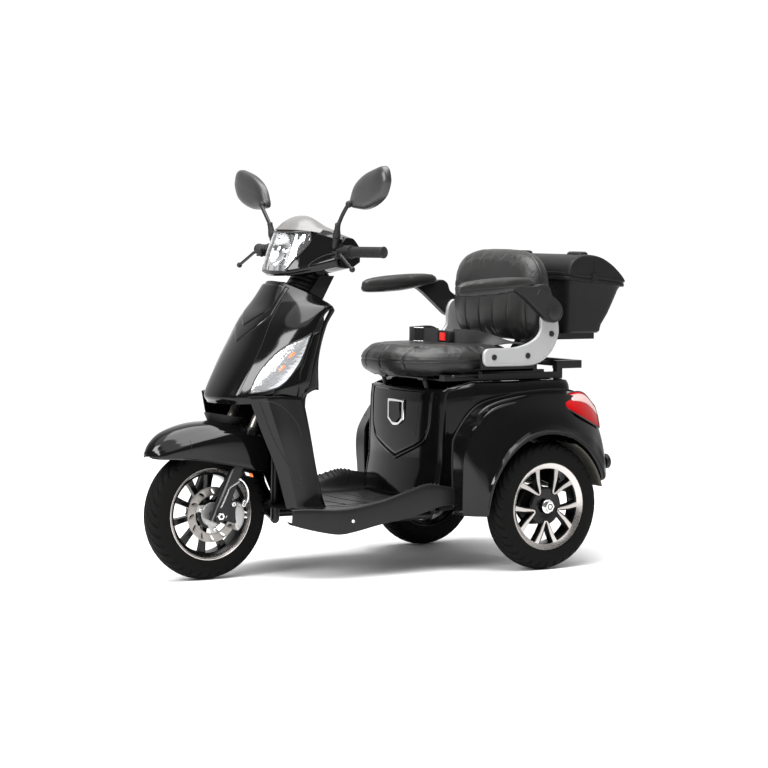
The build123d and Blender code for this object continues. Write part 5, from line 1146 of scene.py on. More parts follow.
def mirror(side):
    """The housing is its outline drawn in towards its middle ring by ring,
    while it stands further forward; the glass is the outline drawn in a little."""
    name = "left" if side > 0 else "right"
    line = curve(MIRROR, 6, closed=True)
    centre = line.mean(0)
    rows = [(0.93, 371.5), (0.96, 374), (1.0, 373), (1.0, 368), (0.985, 361), (0.93, 354), (0.8, 349), (0.6, 346),
        (0.35, 344.6), (0.12, 344), (0.01, 344)]
    grid = np.stack([np.stack([(centre[0] + (line[:, 0] - centre[0]) * s) * side, np.full(len(line), y),
        centre[1] + (line[:, 1] - centre[1]) * s], -1) for s, y in rows])
    lift = 1.6 * np.exp(-(((grid[..., 2] - 985 - 0.3 * (np.abs(grid[..., 0]) - 250)) / 7) ** 2)) * (grid[...,
        1] < 352)
    grid[..., 1] -= np.clip(lift, 0, 1.6) * 0.8
    inside = front(350 * side, 362, 1000)
    sheet("mirror_housing_" + name, millimetres(grid), "mirror_back", "mirror_" + name, False, True, inside=inside,
        crisp=45, of=("mirror_head_" + name,), slot="mirror")
    glass = np.stack([np.stack([(centre[0] + (line[:, 0] - centre[0]) * s) * side, np.full(len(line), y),
        centre[1] + (line[:, 1] - centre[1]) * s], -1) for s, y in [(0.94, 370.5), (0.94, 372.2), (0.92, 372.8),
        (0.5, 373), (0.01, 373)]])
    sheet("mirror_glass_" + name, millimetres(glass), "mirror", "mirror_" + name, False, True, inside=inside,
        crisp=45, slot="mirror")
    boot = [(11, 0), (13, 3), (12, 12), (9.5, 26), (8.5, 40), (9.5, 44), (8, 46), (0, 46)]
    seat = front(191 * side, 348, 850)
    lathe("mirror_boot_" + name, np.array([(0, 0)] + boot) * MM, seat, np.array([12 * side, -3, 42]), "rubber",
        "mirror_stem_" + name, segments=32, crisp=60)
    stem = curve([front(197 * side, 346.5, 880), front(226 * side, 344.5, 916), front(249 * side, 345, 941),
        front(258 * side, 348, 951)], 8)
    tube("mirror_stem_tube_" + name, stem, 0.0062, "black_steel", "mirror_stem_" + name, sides=20)
    ball = [(0, -11), (6, -9.5), (10, -5), (11, 0), (10, 5), (7, 9), (0, 11)]
    lathe("mirror_knuckle_" + name, np.array(ball) * MM, front(259 * side, 349, 953), (side, 0, 0.6), "rubber",
        "mirror_stem_" + name, segments=32, crisp=60)


for side in (1, -1):
    mirror(side)


def grip(side, body, node, slot):
    """A sleeve along the bar whose radius is a sum of an even rib and the
    flanges at its two ends."""
    a = front(194 * side, 357, 807)
    b = front(364 * side, 403, 808)
    run = unit(b - a)
    start, end = a + run * 0.048, b + run * 0.009
    t = np.linspace(0, 1, 161)
    path = start + (end - start) * t[:, None]
    length = np.linalg.norm(end - start)
    d = t * length
    r = 0.0158 + 0.0011 * (np.sin(2 * np.pi * d / 0.0052) > -0.2) * (d > 0.012) * (d < length - 0.012)
    r = np.where(d < 0.005, 0.0215, np.where(d < 0.008, 0.018, r))
    r = np.where(d > length - 0.006, 0.0182 - 0.004 * np.clip((d - length + 0.003) / 0.003, 0, 1) ** 2, r)
    tube("grip_sleeve_" + ("left" if side > 0 else "right"), path, r, "rubber", body, sides=40, crisp=30,
        of=(node,), slot=slot)


grip(1, "steering", "grip_left", "rubber")
grip(-1, "throttle", "throttle_grip", "rubber")

# ---------------------------------------------------------------- seat box and rear body
def box_front_y(x, z):
    """Row y of the seat box's face: a line down the middle plus a bow that
    grows with the width to the power 2.2."""
    return np.interp(z, (224, 283, 345, 450, 534, 576), (60, 66, 76, 78, 81, 86)) + 28 * (np.abs(x) / 200) ** 2.2


def seat_box():
    """The face: rows of heights by columns of widths, at the depth that
    box_front_y gives, with a raised panel, borders, beads and a blank shield."""
    inside = np.array([0, 0.3, 0.4])
    z = np.array([224, 283, 345, 400, 450, 500, 534, 566, 574, 576], float)[:, None]
    x = np.array([0, 45, 90, 130, 160, 188, 199, 205, 207, 207], float)[None, :]
    y = box_front_y(np.minimum(x, 199), z) + np.array([0, 0, 0, 0, 0, 0, 0, 6, 14, 34])[None, :]
    y = y + np.where(z > 570, (z - 570) * 1.6, 0)
    half = np.stack([x + 0 * z, y, z + 0 * x], -1)
    sheet("seat_box_face", net(across(half) * MM, 6, 5), "gloss_black", "chassis", inside=inside, thick=0.003,
        crisp=40, of=("seat_box_front",), slot="gloss_black")
    # the middle panel stands proud inside a V border
    s = np.linspace(-1, 1, 61)[None, :]
    t = np.linspace(0, 1, 49)[:, None]
    low = np.interp(np.abs(s), (0, 0.78, 0.94, 1), (350, 398, 440, 470))
    zz = low + (566 - low) * t
    half_w = 158 + 8 * (zz - 350) / 216
    xx = s * half_w
    edge = np.minimum(np.minimum(t / 0.04, (1 - t) / 0.03), (1 - np.abs(s)) / 0.035)
    lift = 4.2 * np.clip(edge, 0, 1) ** 0.5 - 1.2 * (edge <= 0)
    panel = np.stack([xx, box_front_y(xx, zz) - lift, zz], -1) * MM
    sheet("seat_box_panel", panel, "gloss_black", "chassis", inside=inside, crisp=30)
    for side in (1, -1):
        line = curve([(168 * side, 566), (162 * side, 470), (152 * side, 432), (124 * side, 396), (0, 344)], 12,
            sharp=(4,))
        line = np.stack([line[:, 0], box_front_y(line[:, 0], line[:, 1]) - 1.5, line[:, 1]], -1) * MM
        tube("seat_box_border_%d" % (side + 1), line, 0.0042, "gloss_black", "chassis", sides=10)
        z1 = np.linspace(230, 572, 40)
        line = np.stack([np.full(40, 199.0 * side), box_front_y(199, z1) + 1, z1], -1) * MM
        tube("seat_box_bead_%d" % (side + 1), line, 0.0034, "gloss_black", "chassis", sides=8)
        line = curve([(110 * side, 566), (112 * side, 500), (104 * side, 440), (106 * side, 420)], 10)
        line = np.stack([line[:, 0], box_front_y(line[:, 0], line[:, 1]) - 4.4, line[:, 1]], -1) * MM
        if side > 0:
            tube("seat_box_seam", line, 0.0009, "matt_black", "chassis", sides=6)
    # badge: two shields, one on the other
    for k, (w, top, low, tip, y0, thick) in enumerate(((46, 534, 468, 449, -9.5, 6),
        (33, 527, 474, 458, -14.5, 6))):
        shape = [(-w, top), (w, top), (w, low), (w * 0.35, tip), (-w * 0.35, tip), (-w, low)]
        pts = [(a * MM, (box_front_y(0, 500) + y0) * MM, b * MM) for a, b in shape]
        plate("badge_%d" % k, pts, np.array([0, thick * MM, 0]), "gloss_black" if k else "chrome", "chassis",
            bevel=0.0028)


seat_box()

BODY_PLAN = [(0, 618), (120, 618), (196, 616), (232, 603), (249, 572), (252, 480), (252, 380), (252, 280),
    (249, 216), (238, 180), (214, 142), (206, 122)]
BODY_RISE = [(232, 0), (330, 0), (450, 0), (540, 0), (572, 1.5), (590, 7), (598, 18), (598, 60)]


def rear_body():
    """The body's plan carried up through its heights, and drawn in over the
    shoulder; its top falls off towards the front corners."""
    plan = np.array(BODY_PLAN, float)
    rise = np.array(BODY_RISE, float)[:, None]
    outward = unit(plan - np.array([0, 360]))[None]
    xy = plan[None] - outward * rise[..., 1:]
    drop = np.clip(196 - plan[:, 1], 0, 90) / 90 * 21
    z = rise[..., 0] - drop[None, :] * np.clip((rise[..., 0] - 450) / 140, 0, 1)
    half = np.concatenate([xy, z[..., None]], -1)
    half[:, 0, 0] = 0
    # the lower edge is let up over the axle tube, which rises with the wheels
    half[0, (plan[:, 1] > 300) & (plan[:, 1] < 560) & (plan[:, 0] > 240), 2] += 40
    sheet("body_shell", net(across(half) * MM, 5, 6, sharp_u=(3,)), "gloss_black", "chassis",
        inside=np.array([0, 0.36, 0.4]), thick=0.003, crisp=30, of=("rear_body",), slot="gloss_black")
    for side in (1, -1):
        line = curve([(252.6, 610 - 415, 566), (253, 400, 566), (253, 300, 560), (252, 240, 540)], 8) * [side, 1, 1]
        line[:, 1] = np.linspace(560, 190, len(line))
        tube("body_waist_%d" % (side + 1), line * MM, 0.0012, "matt_black", "chassis", sides=6)


rear_body()

FENDER = np.array([
    [(250, -288, -22), (300, -285, -22), (332, -262, -22), (350, -238, -22), (358, -231, -22), (358, -226, -22),
        (300, -226, -20)],
    [(250, -293, 74), (306, -290, 74), (344, -262, 70), (366, -232, 62), (374, -226, 58), (374, -221, 56),
        (300, -221, 56)],
    [(250, -296, 176), (314, -291, 172), (352, -250, 142), (373, -204, 128), (383, -205, 116), (383, -206, 108),
        (300, -206, 108)],
    [(250, -284, 234), (323, -266, 234), (357, -220, 205), (376, -160, 192), (385, -164, 174), (385, -168, 160),
        (300, -168, 160)],
    [(250, -205, 319), (327, -194, 314), (359, -152, 268), (377, -92, 240), (385, -104, 222), (385, -110, 206),
        (300, -110, 206)],
    [(250, -80, 352), (330, -72, 346), (361, -60, 296), (377, -34, 256), (385, -42, 241), (385, -45, 229),
        (300, -45, 229)],
    [(250, 26, 363), (330, 28, 356), (361, 26, 302), (377, 22, 258), (385, 16, 243), (385, 14, 232),
        (300, 14, 232)],
    [(250, 110, 365), (326, 112, 352), (358, 100, 292), (377, 94, 240), (385, 84, 229), (385, 80, 218),
        (300, 80, 218)],
    [(250, 190, 356), (305, 194, 330), (342, 188, 264), (373, 166, 214), (385, 146, 191), (385, 138, 184),
        (300, 138, 184)],
    [(250, 236, 312), (300, 236, 290), (336, 232, 228), (366, 204, 188), (382, 190, 150), (381, 181, 140),
        (300, 181, 140)],
    [(250, 260, 208), (298, 257, 200), (342, 246, 176), (370, 229, 142), (380, 218, 104), (378, 208, 94),
        (300, 205, 98)],
    [(250, 274, 112), (302, 270, 110), (342, 258, 100), (366, 240, 84), (372, 228, 76), (368, 219, 72),
        (300, 216, 80)],
], float)


def fender(side):
    """The fender's net made smooth, its seam, lip and slots, the guard over the
    tyre as part of a cylinder, the lamp and the reflector."""
    name = "left" if side > 0 else "right"
    points = mirrored(millimetres(FENDER, rear), side)
    inside = rear(300 * side, 0, 240)
    sharp = (1, 3, 4, 5)
    sheet("fender_" + name, net(points, 9, 6, sharp_v=sharp), "gloss_black", "chassis", inside=inside, thick=0.003,
        crisp=24, of=("rear_fenders",) if side > 0 else (), slot="gloss_black")
    u = np.linspace(0.3, 10.8, 110)
    tube("fender_seam_" + name, on_net(points, u, np.full(110, 0.06)), 0.0028, "matt_black", "chassis", sides=8)
    lip = on_net(points, u, np.full(110, 4.0), 0, (), sharp)
    tube("fender_lip_" + name, lip, 0.0034, "floor_plastic", "chassis", sides=8)
    for k, (a, b, v, r) in enumerate(((3.75, 5.3, 0.62, 0.0062), (3.65, 4.75, 1.02, 0.0046),
        (3.2, 3.36, 0.86, 0.0046))):
        path = on_net(points, np.linspace(a, b, 40), v + 0.06 * np.linspace(-1, 1, 40), 0, (), sharp)
        taper = np.sin(np.pi * np.linspace(0.03, 0.97, 40)) ** 0.4
        tube("fender_slot_%s_%d" % (name, k), path - np.array([side * 0.001, 0, 0.0022]), r * taper, "decal_black",
            "chassis", sides=12)
    # inner guard over the tyre
    a = np.radians(np.linspace(14, 62, 24))[:, None]
    x = np.linspace(262, 376, 6)[None, :]
    r = 226 + 3 * np.cos(np.linspace(0, np.pi, 6))[None, :]
    guard = np.stack([x * side + 0 * a, REAR / MM + r * np.cos(a), AXLE / MM + r * np.sin(a)], -1) * MM
    sheet("guard_" + name, guard, "guard", "chassis", inside=rear(320 * side, 0, 0), thick=0.002, crisp=40)
    # tail lamp: between its top and its bottom line, bowed out
    top = curve([(334, 50, 333), (306, 122, 354), (298, 186, 355), (297, 238, 310)], 10)
    low = curve([(334, 50, 333), (350, 88, 308), (358, 126, 287), (350, 178, 263), (336, 229, 241)], 8)
    low = low[np.linspace(0, len(low) - 1, len(top)).round().astype(int)]
    t = np.linspace(0, 1, 19)[None, :, None]
    face = top[:, None] * (1 - t) + low[:, None] * t
    s = np.linspace(0, 1, len(top))[:, None]
    bow = np.sin(np.pi * t[..., 0]) ** 0.7 * np.sin(np.pi * np.clip(s * 0.93 + 0.02, 0, 1)) ** 0.6
    out = unit(np.array([1.0, 0.55, 0.35]))
    face = face + bow[..., None] * out * 9 + out * 2.5
    face = mirrored(face * MM + rear(0, 0, 0), side)
    sheet("tail_lamp_" + name, face, "red_lamp", "chassis", inside=inside, crisp=50, thick=0.002,
        of=("tail_lights",) if side > 0 else (), slot="red_lamp")
    pale = face[10:, 2:9] + mirrored(out * 0.0012, side)
    sheet("tail_lens_" + name, pale, "pale_lamp", "chassis", inside=inside, crisp=50, thick=0.001)
    rim = np.concatenate([face[:, 0], face[-1, 1:], face[-2::-1, -1]])
    tube("tail_rim_" + name, curve(rim, 1), 0.002, "decal_black", "chassis", sides=8)
    cup = [(0, 0), (23, 0), (24.5, 3), (24.5, 14), (22, 16), (20.5, 14), (0, 13.5)]
    lathe("reflector_cup_" + name, np.array(cup) * MM, rear(322 * side, 262, 128), (0, 1, 0.1), "matt_black",
        "chassis", segments=48)
    # the reflector disc takes the red lamp finish and so glows a little: painted glow, since a reflector is no lamp
    lathe("reflector_disc_" + name, np.array([(0, 13), (20, 13), (20.5, 15), (14, 16.6), (0, 17)]) * MM,
        rear(322 * side, 262, 128), (0, 1, 0.1), "red_lamp", "chassis", segments=48)


for side in (1, -1):
    fender(side)


# ---------------------------------------------------------------- luggage box
def oval(a, b, power=5.0, count=96):
    """A rounded rectangle: x is a cos^(2/power), y is b sin^(2/power)."""
    t = np.linspace(0, 2 * np.pi, count, endpoint=False)
    c, s = np.cos(t), np.sin(t)
    return np.stack([a * np.sign(c) * np.abs(c) ** (2 / power), b * np.sign(s) * np.abs(s) ** (2 / power)], -1)


def luggage():
    """The tub is rounded rectangles that grow and lean with height; the lid is one
    arch carried along the box and drawn in near its ends."""
    def ring(half, y0, y1, z, tilt=0.0, power=5.0):
        flat = oval(half, (y1 - y0) / 2, power)
        y = flat[:, 1] + (y0 + y1) / 2
        return np.stack([flat[:, 0], y, z - tilt * (y - 158)], -1)

    tilt = 28 / 270
    rows = [ring(2, 272, 278, 542), ring(150, 222, 345, 542, power=9), ring(184, 210, 353, 543, power=9),
        ring(190, 206, 358, 549, power=9), ring(193, 205, 362, 570, power=9), ring(198, 201, 386, 606, 0.0, 9),
        ring(204, 197, 403, 650, 0.03, 9), ring(213, 190, 421, 712, tilt * 0.9, 9),
        ring(216, 188, 427, 722, tilt, 9), ring(224, 180, 438, 724, tilt, 9), ring(225.5, 179, 439.5, 731, tilt, 9),
        ring(224, 180, 438, 736, tilt, 9), ring(214, 189, 429, 736, tilt, 9)]
    sheet("box_shell", millimetres(np.array(rows), rear), "dark_grey", "chassis", False, True,
        inside=rear(0, 300, 640), crisp=34, of=("top_box",), slot="dark_grey")
    lip = [ring(2, 305, 311, 737, tilt), ring(214, 189, 429, 737, tilt, 9),
        ring(224.5, 179.5, 438.5, 737.5, tilt, 9), ring(226, 178.5, 440, 741, tilt, 9),
        ring(225, 179.5, 438.5, 747, tilt, 9), ring(216, 186, 430, 749, tilt, 9), ring(2, 305, 311, 749, tilt)]
    sheet("lid_lip", millimetres(np.array(lip), rear), "dark_grey", "luggage_lid", False, True,
        inside=rear(0, 300, 735), crisp=34)
    # the lid is a vault along the box: one arch, drawn in towards the arch's
    # foot near each end
    arch = curve([(186, 742), (188, 756), (193, 770), (204, 784), (220, 794), (243, 800.5), (270, 803), (302, 800),
        (336, 790), (372, 770), (400, 748), (419, 730), (430, 716)], 6)
    foot = curve([(430, 712), (300, 726), (186, 738)], 6)
    loop, middle = np.concatenate([arch, foot]), np.array([296, 742])
    ends = [(-223, 0.02), (-223.5, 0.6), (-223, 0.9), (-220.5, 0.955), (-215, 0.985), (-204, 1.0), (-150, 1.002)]
    ends = ends + [(x, 1.002) for x in (-75, 0, 75)] + [(-x, s) for x, s in ends[::-1]]
    vault = np.array([np.concatenate([np.full((len(loop), 1), x), middle + (loop - middle) * s], 1) for x,
        s in ends])
    sheet("box_dome", millimetres(vault, rear), "dark_grey", "luggage_lid", False, True, inside=rear(0, 290, 760),
        crisp=34, of=("box_lid",), slot="dark_grey")
    for side in (1, -1):
        line = [(224.2 * side, 293, 742), (224.2 * side, 293, 778), (222 * side, 293, 796)]
        tube("lid_line_%d" % (side + 1), millimetres(np.array(line), rear), 0.0011, "matt_black", "luggage_lid",
            sides=6)
        plate("lid_tab_%d" % (side + 1), [rear(225.5 * side, a, b) for a,
            b in ((280, 713), (306, 711), (304, 740), (282, 742))], np.array([side * 0.003, 0, 0]), "dark_grey",
            "luggage_lid", bevel=0.0012)

        def pad_ring(a, b, z):
            return np.concatenate([oval(a, b, 4, 64) + [150 * side, 276], np.full((64, 1), z)], 1)

        pad = np.array([pad_ring(1, 1, 797), pad_ring(37, 19, 798), pad_ring(39, 21, 802), pad_ring(38, 20, 808),
            pad_ring(32, 15, 812), pad_ring(20, 9, 812.5), pad_ring(17, 7, 809), pad_ring(1, 1, 809)])
        sheet("lid_handle_%d" % (side + 1), millimetres(pad, rear), "matt_black", "luggage_lid", False, True,
            inside=rear(150 * side, 276, 801), crisp=34)
    latch = [(-30, 690), (30, 690), (34, 705), (34, 734), (-34, 734), (-34, 705)]
    plate("box_latch", [rear(a, 424 + (b - 690) * 0.24, b - 24) for a, b in latch], np.array([0, 0.009, 0]),
        "matt_black", "chassis", bevel=0.0025)


luggage()

# ---------------------------------------------------------------- seat
def pillow(outline, centre, profile):
    """Rings of one outline: each is the outline drawn towards the centre by a
    share, then moved along the thickness by a height."""
    outline, centre = np.asarray(outline, float), np.asarray(centre, float)
    return np.stack([np.concatenate([centre + (outline - centre) * s, np.full((len(outline), 1), h)], 1) for s,
        h in profile])


def inflate(obj, stiff, cap, pressure=4.0, voxel=0.006):
    """Pads the form as cloth under inner pressure: the skin is remeshed, blown
    for twenty frames with no gravity, and no point moves further than the cap."""
    scene.frame_set(1)
    remesh = obj.modifiers.new("even", "REMESH")
    remesh.mode, remesh.voxel_size, remesh.use_smooth_shade = "VOXEL", voxel, True
    baked = bpy.data.meshes.new_from_object(obj.evaluated_get(bpy.context.evaluated_depsgraph_get()))
    obj.modifiers.clear()
    material = obj.data.materials[0]
    obj.data = baked
    if not baked.materials:
        baked.materials.append(material)
    count = len(baked.vertices)
    start = np.empty(count * 3)
    baked.vertices.foreach_get("co", start)
    cloth = obj.modifiers.new("cloth", "CLOTH")
    cloth.settings.use_pressure = True
    cloth.settings.uniform_pressure_force = pressure
    cloth.settings.effector_weights.gravity = 0
    cloth.settings.tension_stiffness = cloth.settings.compression_stiffness = stiff
    cloth.settings.quality = 4
    cloth.collision_settings.use_collision = False
    for step in range(1, 21):
        scene.frame_set(step)
    moved = bpy.data.meshes.new_from_object(obj.evaluated_get(bpy.context.evaluated_depsgraph_get()))
    end = np.empty(count * 3)
    moved.vertices.foreach_get("co", end)
    shift = (end - start).reshape(-1, 3)
    length = np.linalg.norm(shift, axis=1, keepdims=True)
    shift *= np.minimum(1, cap / np.maximum(length, 1e-9))
    baked.vertices.foreach_set("co", (start.reshape(-1, 3) + shift).ravel())
    obj.modifiers.clear()
    scene.frame_set(1)
    baked.update()


def refine(obj, levels=1):
    """Subdivides the mesh for good, so that seams can be pressed into it."""
    sub = obj.modifiers.new("finer", "SUBSURF")
    sub.levels = sub.render_levels = levels
    fine = bpy.data.meshes.new_from_object(obj.evaluated_get(bpy.context.evaluated_depsgraph_get()))
    obj.modifiers.clear()
    material = obj.data.materials[0]
    obj.data = fine
    if not fine.materials:
        fine.materials.append(material)


def press(obj, depth_of, low=None, high=None):
    """Moves each point in along its normal by a depth worked out from its
    place, and holds the piece inside its box."""
    mesh = obj.data
    count = len(mesh.vertices)
    place, normal = np.empty(count * 3), np.empty(count * 3)
    mesh.vertices.foreach_get("co", place)
    mesh.vertex_normals.foreach_get("vector", normal)
    place, normal = place.reshape(-1, 3), normal.reshape(-1, 3)
    place = place - normal * depth_of(place, normal)[:, None]
    if low is not None:
        place = np.clip(place, low, high)
    mesh.vertices.foreach_set("co", place.ravel())
    mesh.shade_smooth()
    mesh.update()


def groove(distance, width, depth):
    """A pressed line: depth times e to minus the square of distance over width."""
    return depth * np.exp(-((distance / width) ** 2))


def smooth_step(x, a, b):
    """From 0 at a to 1 at b by three squares less two cubes of the share."""
    t = np.clip((x - a) / (b - a), 0, 1)
    return t * t * (3 - 2 * t)


CUSHION = [(0, -31), (66, -24), (112, -1), (154, 40), (190, 90), (213, 150), (226, 214), (228, 320), (214, 392),
    (176, 424), (90, 432), (0, 433)]
BACK = [(0, 514), (118, 514), (178, 521), (217, 548), (237, 602), (242, 662), (238, 716), (220, 764), (184, 797),
    (128, 817), (60, 824), (0, 825)]


def full_outline(half, steps=6):
    """A right half outline and its mirror image, as one closed smooth line."""
    half = np.array(half, float)
    return curve(np.concatenate([half, half[-2:0:-1] * [-1, 1]]), steps, closed=True)


def seat_cushion():
    """The outline stacked by the profile, blown, then pressed: channels in front,
    a seam and piping round the side, and a hollow where the rider sits."""
    profile = [(0.01, 707), (0.25, 708), (0.5, 708), (0.72, 706), (0.86, 701), (0.94, 692), (0.985, 678),
        (1.0, 662), (0.99, 644), (0.955, 630), (0.88, 622), (0.6, 620), (0.01, 620)]
    grid = pillow(full_outline(CUSHION), (0, 190), profile) * MM
    obj = sheet("cushion", grid, "vinyl", "seat", False, True, solid=True, crisp=180, of=("seat_cushion",),
        slot="vinyl")
    inflate(obj, 14, 0.009)
    refine(obj, 1)

    def depth(p, n):
        x, y, z = p.T / MM
        front_part = 1 - smooth_step(y, 70, 190)
        across_ = sum(groove(x - c, 2.4, 3.2) for c in (-120, -40, 40, 120))
        seam = groove(z - 664, 2.0, 2.4) * (np.abs(n[:, 2]) < 0.85)
        piping = -groove(z - 669, 2.2, 1.4) * (np.abs(n[:, 2]) < 0.85)
        sag = 5 * np.exp(-((x / 130) ** 2) - ((y - 230) / 120) ** 2) * (n[:, 2] > 0)
        wrinkle = 0.5 * np.sin(x / 7 + 2 * np.sin(y / 23)) * groove(z - 676, 9, 1.0) * (y < 60)
        return (across_ * front_part * (n[:, 2] > -0.5) * (z > 640) + seam + piping + sag + wrinkle) * MM

    press(obj, depth, np.array([-0.2365, -0.068, 0.6155]), np.array([0.2365, 0.4445, 0.7165]))


def back_cushion():
    """The outline stacked by the profile, blown, then pressed: upright channels
    with round puffs between them, bolster lines, a cross seam and side seams."""
    profile = [(0.01, 26), (0.3, 25), (0.55, 25), (0.76, 29), (0.89, 37), (0.965, 50), (1.0, 70), (0.99, 92),
        (0.95, 107), (0.86, 116), (0.6, 119), (0.01, 119)]
    rings_ = pillow(full_outline(BACK), (0, 668), profile)
    grid = millimetres(rings_[..., [0, 2, 1]], rear)
    obj = sheet("backrest", grid, "vinyl", "seat", False, True, solid=True, crisp=180, of=("back_cushion",),
        slot="vinyl")
    inflate(obj, 14, 0.007)
    refine(obj, 1)
    base = rear(0, 0, 0)

    def depth(p, n):
        x, y, z = ((p - base) / MM).T
        face = smooth_step(-n[:, 1], 0.1, 0.6)
        edge = 192 - 6 * ((z - 640) / 80) ** 2
        low = 1 - smooth_step(z, 700, 708)
        channels = sum(groove(x - c, 2.2, 4.2) for c in (-114, -38, 38, 114)) * smooth_step(z, 524, 546)
        puff = -1.4 * np.abs(np.sin((x - 38) / 76 * np.pi)) * smooth_step(z, 528,
            560) * (1 - smooth_step(np.abs(x), 172, 190))
        lumbar = -7 * np.exp(-(((z - 625) / 55) ** 2)) * (1 - smooth_step(np.abs(x), 120, 215))
        bolster = groove(np.abs(x) - edge, 2.6, 5.0) * smooth_step(z, 524, 546)
        belt = groove(z - 706 + 0.0004 * x * x, 3.0, 5.0) * (1 - smooth_step(np.abs(x), 206, 224))
        side_seam = groove(y - 66, 2.0, 2.2) * (1 - face) + groove(y - 100, 2.0, 1.8) * (1 - face)
        sewn = (channels + puff) * low * face + lumbar * face + bolster * low * face + belt * face
        return (sewn + side_seam) * MM

    press(obj, depth, rear(-248, 8, 504), rear(248, 123, 832))


def slab(name, x, y, z, **more):
    """A plain block between two values on each axis, in millimetres."""
    (x0, x1), (y0, y1), (z0, z1) = x, y, z
    corners = [(x0, y0, z0), (x1, y0, z0), (x1, y1, z0), (x0, y1, z0)]
    return plate(name, np.array(corners) * MM, np.array([0, 0, (z1 - z0) * MM]), "black_steel", "seat",
        bevel=0.0008, **more)


def seat_frame():
    """The pan under the cushion keeps inside the cushion's outline; its rails,
    side flanges and back posts carry on from the sub-frame."""
    outline = full_outline(CUSHION)
    pan = (outline - [0, 215]) * 0.9 + [0, 215]
    plate("seat_pan", np.concatenate([pan, np.full((len(pan), 1), 628)], 1) * MM, np.array([0, 0, 0.012]),
        "black_steel", "seat", bevel=0.001, of=("seat_frame",), slot="black_steel")
    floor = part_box("seat_frame")[0][2] / MM
    for side in (1, -1):
        tag = "_%d" % (side + 1)
        slab("seat_runner" + tag, sorted((side * 183, side * 197)), (190, 524), (floor, 632))
        slab("seat_flange" + tag, sorted((side * 150, side * 256)), (225, 435), (632, 640))
        slab("seat_cheek" + tag, sorted((side * 248, side * 256)), (225, 435), (632, 690))
        slab("back_foot" + tag, sorted((side * 60, side * 92)), (428, 467), (632, 664))
        post = [rear(side * 60, a, b) for a, b in ((40, 450), (52, 450), (130, 560), (132, 740), (122, 740),
            (120, 560))]
        plate("back_post" + tag, post, np.array([side * 0.032, 0, 0]), "black_steel", "seat", bevel=0.0008)
    slab("lever_lug", (196, 219), (243, 257), (floor, 632))


seat_frame()


seat_cushion()
back_cushion()

ARM = [(-104, 700), (-60, 701), (-8, 703), (10, 707), (32, 708), (50, 696), (60, 672), (82, 656), (99, 636),
    (103, 614), (93, 594), (70, 584), (47, 589), (24, 606), (-10, 634), (-48, 664), (-78, 682), (-100, 690)]


def armrest(side):
    """A flat arm with its cap, and a pad: a rounded rectangle stacked by a
    profile, dropped in proportion to the distance ahead."""
    name = "left" if side > 0 else "right"
    body = "arm_" + name
    arm = curve(np.array(ARM, float), 4, closed=True)
    plate("arm_" + name, [rear(271.5 * side, a, b) for a, b in arm], np.array([side * 0.0275, 0, 0]), "arm_plastic",
        body, bevel=0.0045, crisp=30)
    cap = [(0, 0), (24, 0), (26, 1.5), (24, 3), (0, 3.4)]
    lathe("arm_cap_" + name, np.array(cap) * MM, rear(298.5 * side, 69, 619), X_AXIS * side, "arm_plastic", body,
        segments=64)
    ring = curve([(-4, 676), (10, 690), (30, 692), (46, 676), (52, 656)], 8)
    tube("arm_knuckle_" + name, np.array([rear(299 * side, a, b) for a, b in ring]), 0.0011, "decal_black", body,
        sides=6)
    flat = oval(27, 151, 3.2, 120)
    flat = flat * [1, 1] + [273 * side, -151]
    flat[:, 0] = 273 * side + (flat[:, 0] - 273 * side) * (1 - 0.18 * smooth_step(-flat[:, 1], 180, 302))
    profile = [(0.01, 734), (0.4, 734), (0.7, 732), (0.88, 728), (0.97, 720), (1.0, 712), (0.99, 704), (0.95, 698),
        (0.8, 695.5), (0.01, 695)]
    grid = pillow(flat, (273 * side, -151), profile)
    ahead = np.clip(-grid[..., 1] / 302, 0, 1)
    grid[..., 2] -= 19 * ahead + 11 * smooth_step(ahead, 0.05, 0.6) * (grid[..., 2] < 713)
    obj = sheet("arm_pad_" + name, millimetres(grid, rear), "vinyl", body, False, True, solid=True, crisp=180,
        of=("armrest_" + name,), slot="vinyl")
    inflate(obj, 14, 0.004, voxel=0.005)
    refine(obj, 1)
    base = rear(0, 0, 0)

    def depth(p, n):
        _, y, z = ((p - base) / MM).T
        return groove(z - 706 + 19 * np.clip(-y / 302, 0, 1), 1.3, 1.3) * (np.abs(n[:, 2]) < 0.9) * MM

    press(obj, depth, rear(min(244 * side, 302 * side), -305, 660), rear(max(244 * side, 302 * side), 3, 738))


for side in (1, -1):
    armrest(side)

BRACKET = [(-163, 446), (-179, 450), (-187, 462), (-187, 486), (-180, 498), (-166, 503), (-110, 504), (-62, 506),
    (-18, 516), (18, 534), (38, 560), (38, 590), (42, 618), (56, 638), (72, 642), (90, 632), (100, 610), (109, 582),
    (111, 550), (100, 516), (82, 488), (54, 464), (22, 450), (-16, 445), (-90, 445)]


def bracket(side):
    """The silver elbow: one outline carried across, with a thin line and bolts."""
    line = curve(np.array(BRACKET, float), 5, closed=True)
    plate("bracket_%d" % (side + 1), [rear(256 * side, a, b) for a, b in line], np.array([side * 0.0142, 0, 0]),
        "silver_paint", "seat", bevel=0.0042, crisp=30, of=("seat_brackets",) if side > 0 else (),
        slot="silver_paint")
    inner = curve([(-166, 457), (-100, 456), (-30, 456), (16, 461), (48, 476), (76, 500), (94, 534), (99, 572)], 8)
    tube("bracket_line_%d" % (side + 1), np.array([rear(270.2 * side, a, b) for a, b in inner]), 0.0008,
        "silver_paint", "seat", sides=6)
    spots = [(rear(270 * side, a, b), X_AXIS * side) for a, b in ((-149, 475), (-15, 478), (80, 547))]
    many("bracket_bolts_%d" % (side + 1), head(0.0095, 0.0035, sides=24), spots, "matt_black", "seat", bevel=0.0006)


for side in (1, -1):
    bracket(side)


